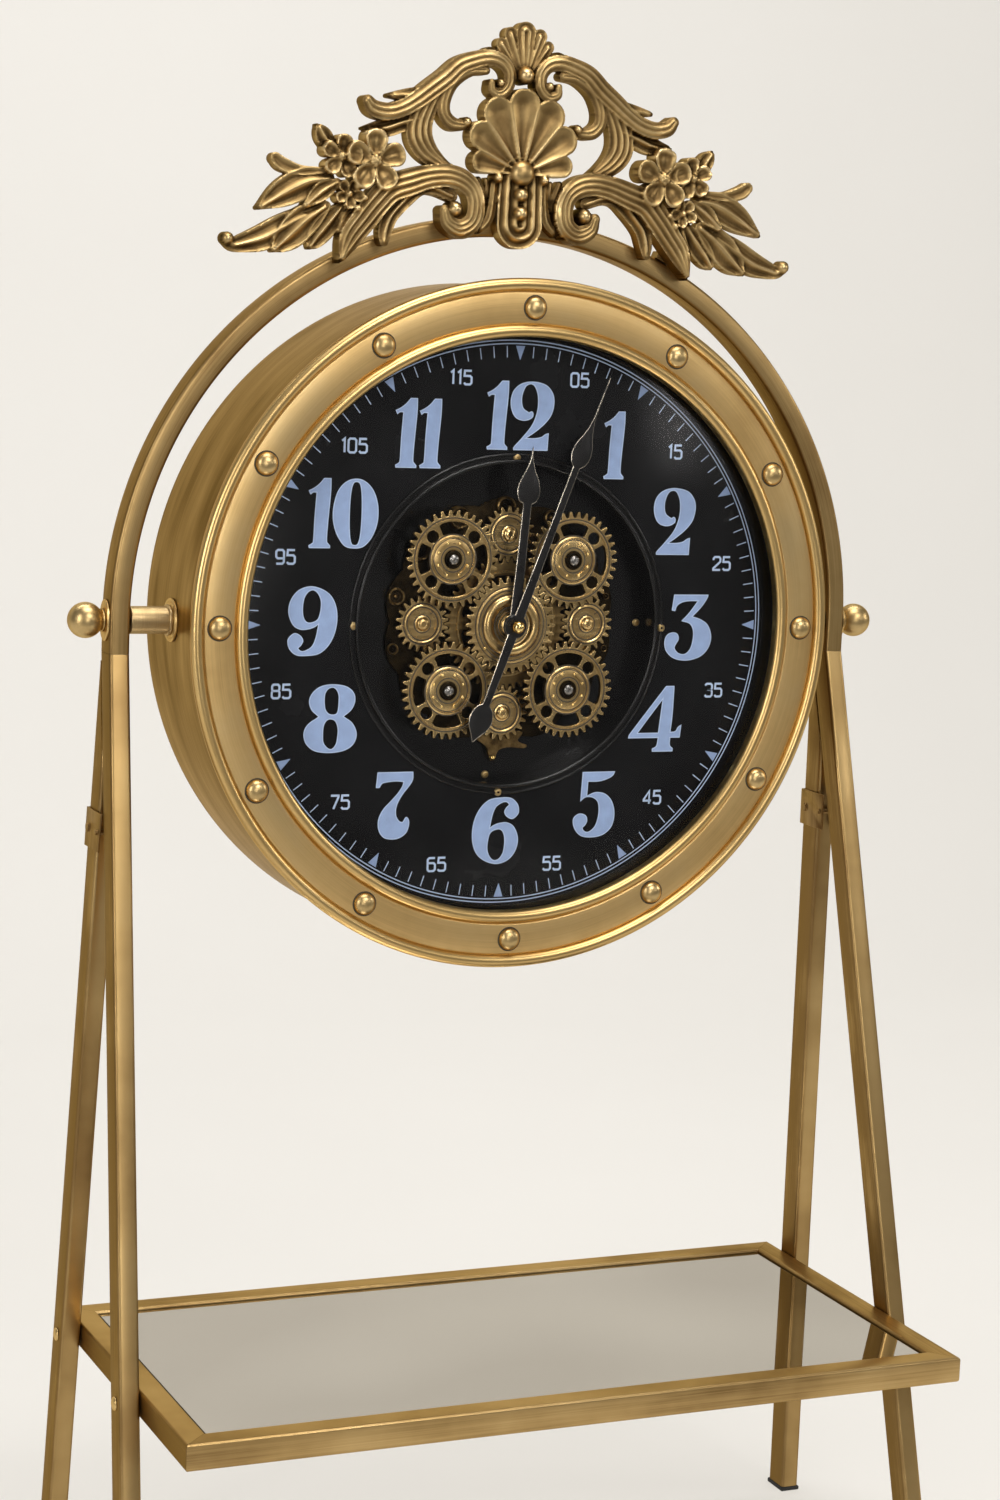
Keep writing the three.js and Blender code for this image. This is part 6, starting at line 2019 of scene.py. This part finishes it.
# %% [markdown]
# ## Room and light
# The clock stands on a pale sheet that curves up behind it, so there is no horizon. The sheet looks
# the same warm white everywhere to the camera and still takes the clock's soft shadow. The light
# comes from large soft panels, and the metal shows them as long pale streaks.

# %% Backdrop
PALE = (0.86, 0.82, 0.75, 1)
GLOW_SHARE = 0.68


def backdrop_material():
    """A sheet that glows to the camera and shows the clock's shadow in what it adds of its own."""
    material = new_material("backdrop")
    grain = object_noise(material, 2.0, 2.0)
    paper = ramp(material, grain, [(0.3, (0.80, 0.785, 0.76)), (0.7, (0.83, 0.815, 0.79))])
    matt = node(material, "ShaderNodeBsdfDiffuse", {"Color": paper}).outputs["BSDF"]
    glow = node(material, "ShaderNodeEmission", {"Color": PALE, "Strength": 1.0}).outputs["Emission"]
    rays = node(material, "ShaderNodeLightPath").outputs
    straight = arithmetic(material, "MAXIMUM", rays["Is Camera Ray"], rays["Is Transmission Ray"])
    seen = arithmetic(material, "MAXIMUM", straight, rays["Is Glossy Ray"])
    sheet = mixed(material, arithmetic(material, "MULTIPLY", seen, GLOW_SHARE), matt, glow)
    # The sheet hides nothing from behind, so the back of the clock can be looked at too.
    behind = node(material, "ShaderNodeNewGeometry").outputs["Backfacing"]
    clear = node(material, "ShaderNodeBsdfTransparent").outputs["BSDF"]
    surface(material, mixed(material, behind, sheet, clear))
    return material


SWEEP_RADIUS = 1.2
BACK_WALL = 3.4
WALL_TOP = 5.0
FLOOR_FRONT = -1.5
HALF_WIDTH = 7.0
SWEEP_START = BACK_WALL - SWEEP_RADIUS
profile = [(FLOOR_FRONT, 0.0), (SWEEP_START, 0.0)]
for i in range(1, 25):
    turn = math.pi / 2 * i / 24
    profile.append((SWEEP_START + SWEEP_RADIUS * math.sin(turn), SWEEP_RADIUS * (1 - math.cos(turn))))
profile.append((BACK_WALL, WALL_TOP))
sheet = bpy.data.meshes.new("backdrop")
sheet_points = [(x, y, z) for y, z in profile for x in (-HALF_WIDTH, HALF_WIDTH)]
sheet_faces = [(2 * i, 2 * i + 1, 2 * i + 3, 2 * i + 2) for i in range(len(profile) - 1)]
sheet.from_pydata(sheet_points, [], sheet_faces)
sheet.shade_smooth()
sheet.materials.append(backdrop_material())
backdrop = shown("backdrop", sheet)
print("backdrop from", profile[0], "to", profile[-1])

# %% [markdown]
# Each lamp is a panel that fades towards its edges, as the cloth front of a studio lamp does, so
# the metal shows no hard rectangles. The world is dim for everything but the camera.

# %% Lights
def soften_panel(data):
    """Lets a lamp's strength fall to nothing at its edges."""
    data.use_nodes = True
    tree = data.node_tree
    place = add(tree, "ShaderNodeNewGeometry").outputs["Parametric"]
    parts = add(tree, "ShaderNodeSeparateXYZ", {0: place}).outputs
    fades = []
    for axis in ("X", "Y"):
        from_edge = add(tree, "ShaderNodeMath", {0: parts[axis], 1: 0.5}, operation="PINGPONG").outputs[0]
        reach = {"Value": from_edge, "From Max": 0.42, "To Max": 1.65}
        fade = add(tree, "ShaderNodeMapRange", reach, interpolation_type="SMOOTHERSTEP")
        fades.append(fade.outputs["Result"])
    both = add(tree, "ShaderNodeMath", enumerate(fades), operation="MULTIPLY").outputs[0]
    tree.links.new(both, tree.nodes["Emission"].inputs["Strength"])


def panel(name, place, aim, width, height, power, colour):
    """A soft lamp of a size in metres at a place, turned to face a point."""
    data = bpy.data.lights.new(name, "AREA")
    data.shape = "RECTANGLE"
    data.size = width
    data.size_y = height
    data.energy = power
    data.color = colour
    soften_panel(data)
    lamp = shown(name, data)
    lamp.location = place
    lamp.rotation_mode = "QUATERNION"
    lamp.rotation_quaternion = (Vector(aim) - Vector(place)).to_track_quat("-Z", "Y")


WARM = (1, 0.98, 0.95)
panel("overhead", (0.0, -0.5, 3.1), (0, 0, 0.9), 2.4, 1.5, 38, WARM)
panel("left panel", (-2.5, -1.5, 1.7), (0, 0, 0.8), 1.1, 2.3, 20, WARM)
panel("right panel", (3.0, -0.9, 1.8), (0, 0, 0.9), 1.2, 1.4, 16, WARM)
panel("glass panel", (1.93, -2.4, 1.55), (0, 0, 0.9), 0.36, 0.75, 3.0, (1, 0.98, 0.97))
panel("front panel", (0.5, -3.0, 2.8), (0, 0, 0.9), 2.4, 1.2, 50, (1, 0.98, 0.96))
panel("edge panel", (-2.4, -1.3, 1.0), (0, 0, 0.8), 0.25, 2.2, 8, WARM)
panel("bead panel", (-0.45, -3.2, 1.15), (0, 0, 0.9), 0.8, 1.6, 14, WARM)
panel("backdrop lamp", (0.0, 0.9, 3.4), (0.4, 3.0, 0.8), 5.5, 0.6, 78, (1, 1, 1))

world = bpy.data.worlds.new("room")
scene.world = world
world.use_nodes = True
room = world.node_tree
room.nodes.clear()
is_seen = add(room, "ShaderNodeLightPath").outputs["Is Camera Ray"]
dim = add(room, "ShaderNodeBackground", {"Color": (*WARM, 1), "Strength": 0.2}).outputs[0]
pale = add(room, "ShaderNodeBackground", {"Color": PALE}).outputs[0]
sky = add(room, "ShaderNodeMixShader", {0: is_seen, 1: dim, 2: pale}).outputs[0]
add(room, "ShaderNodeOutputWorld", {"Surface": sky})
print("lamps", [made.name for made in bpy.data.lights])
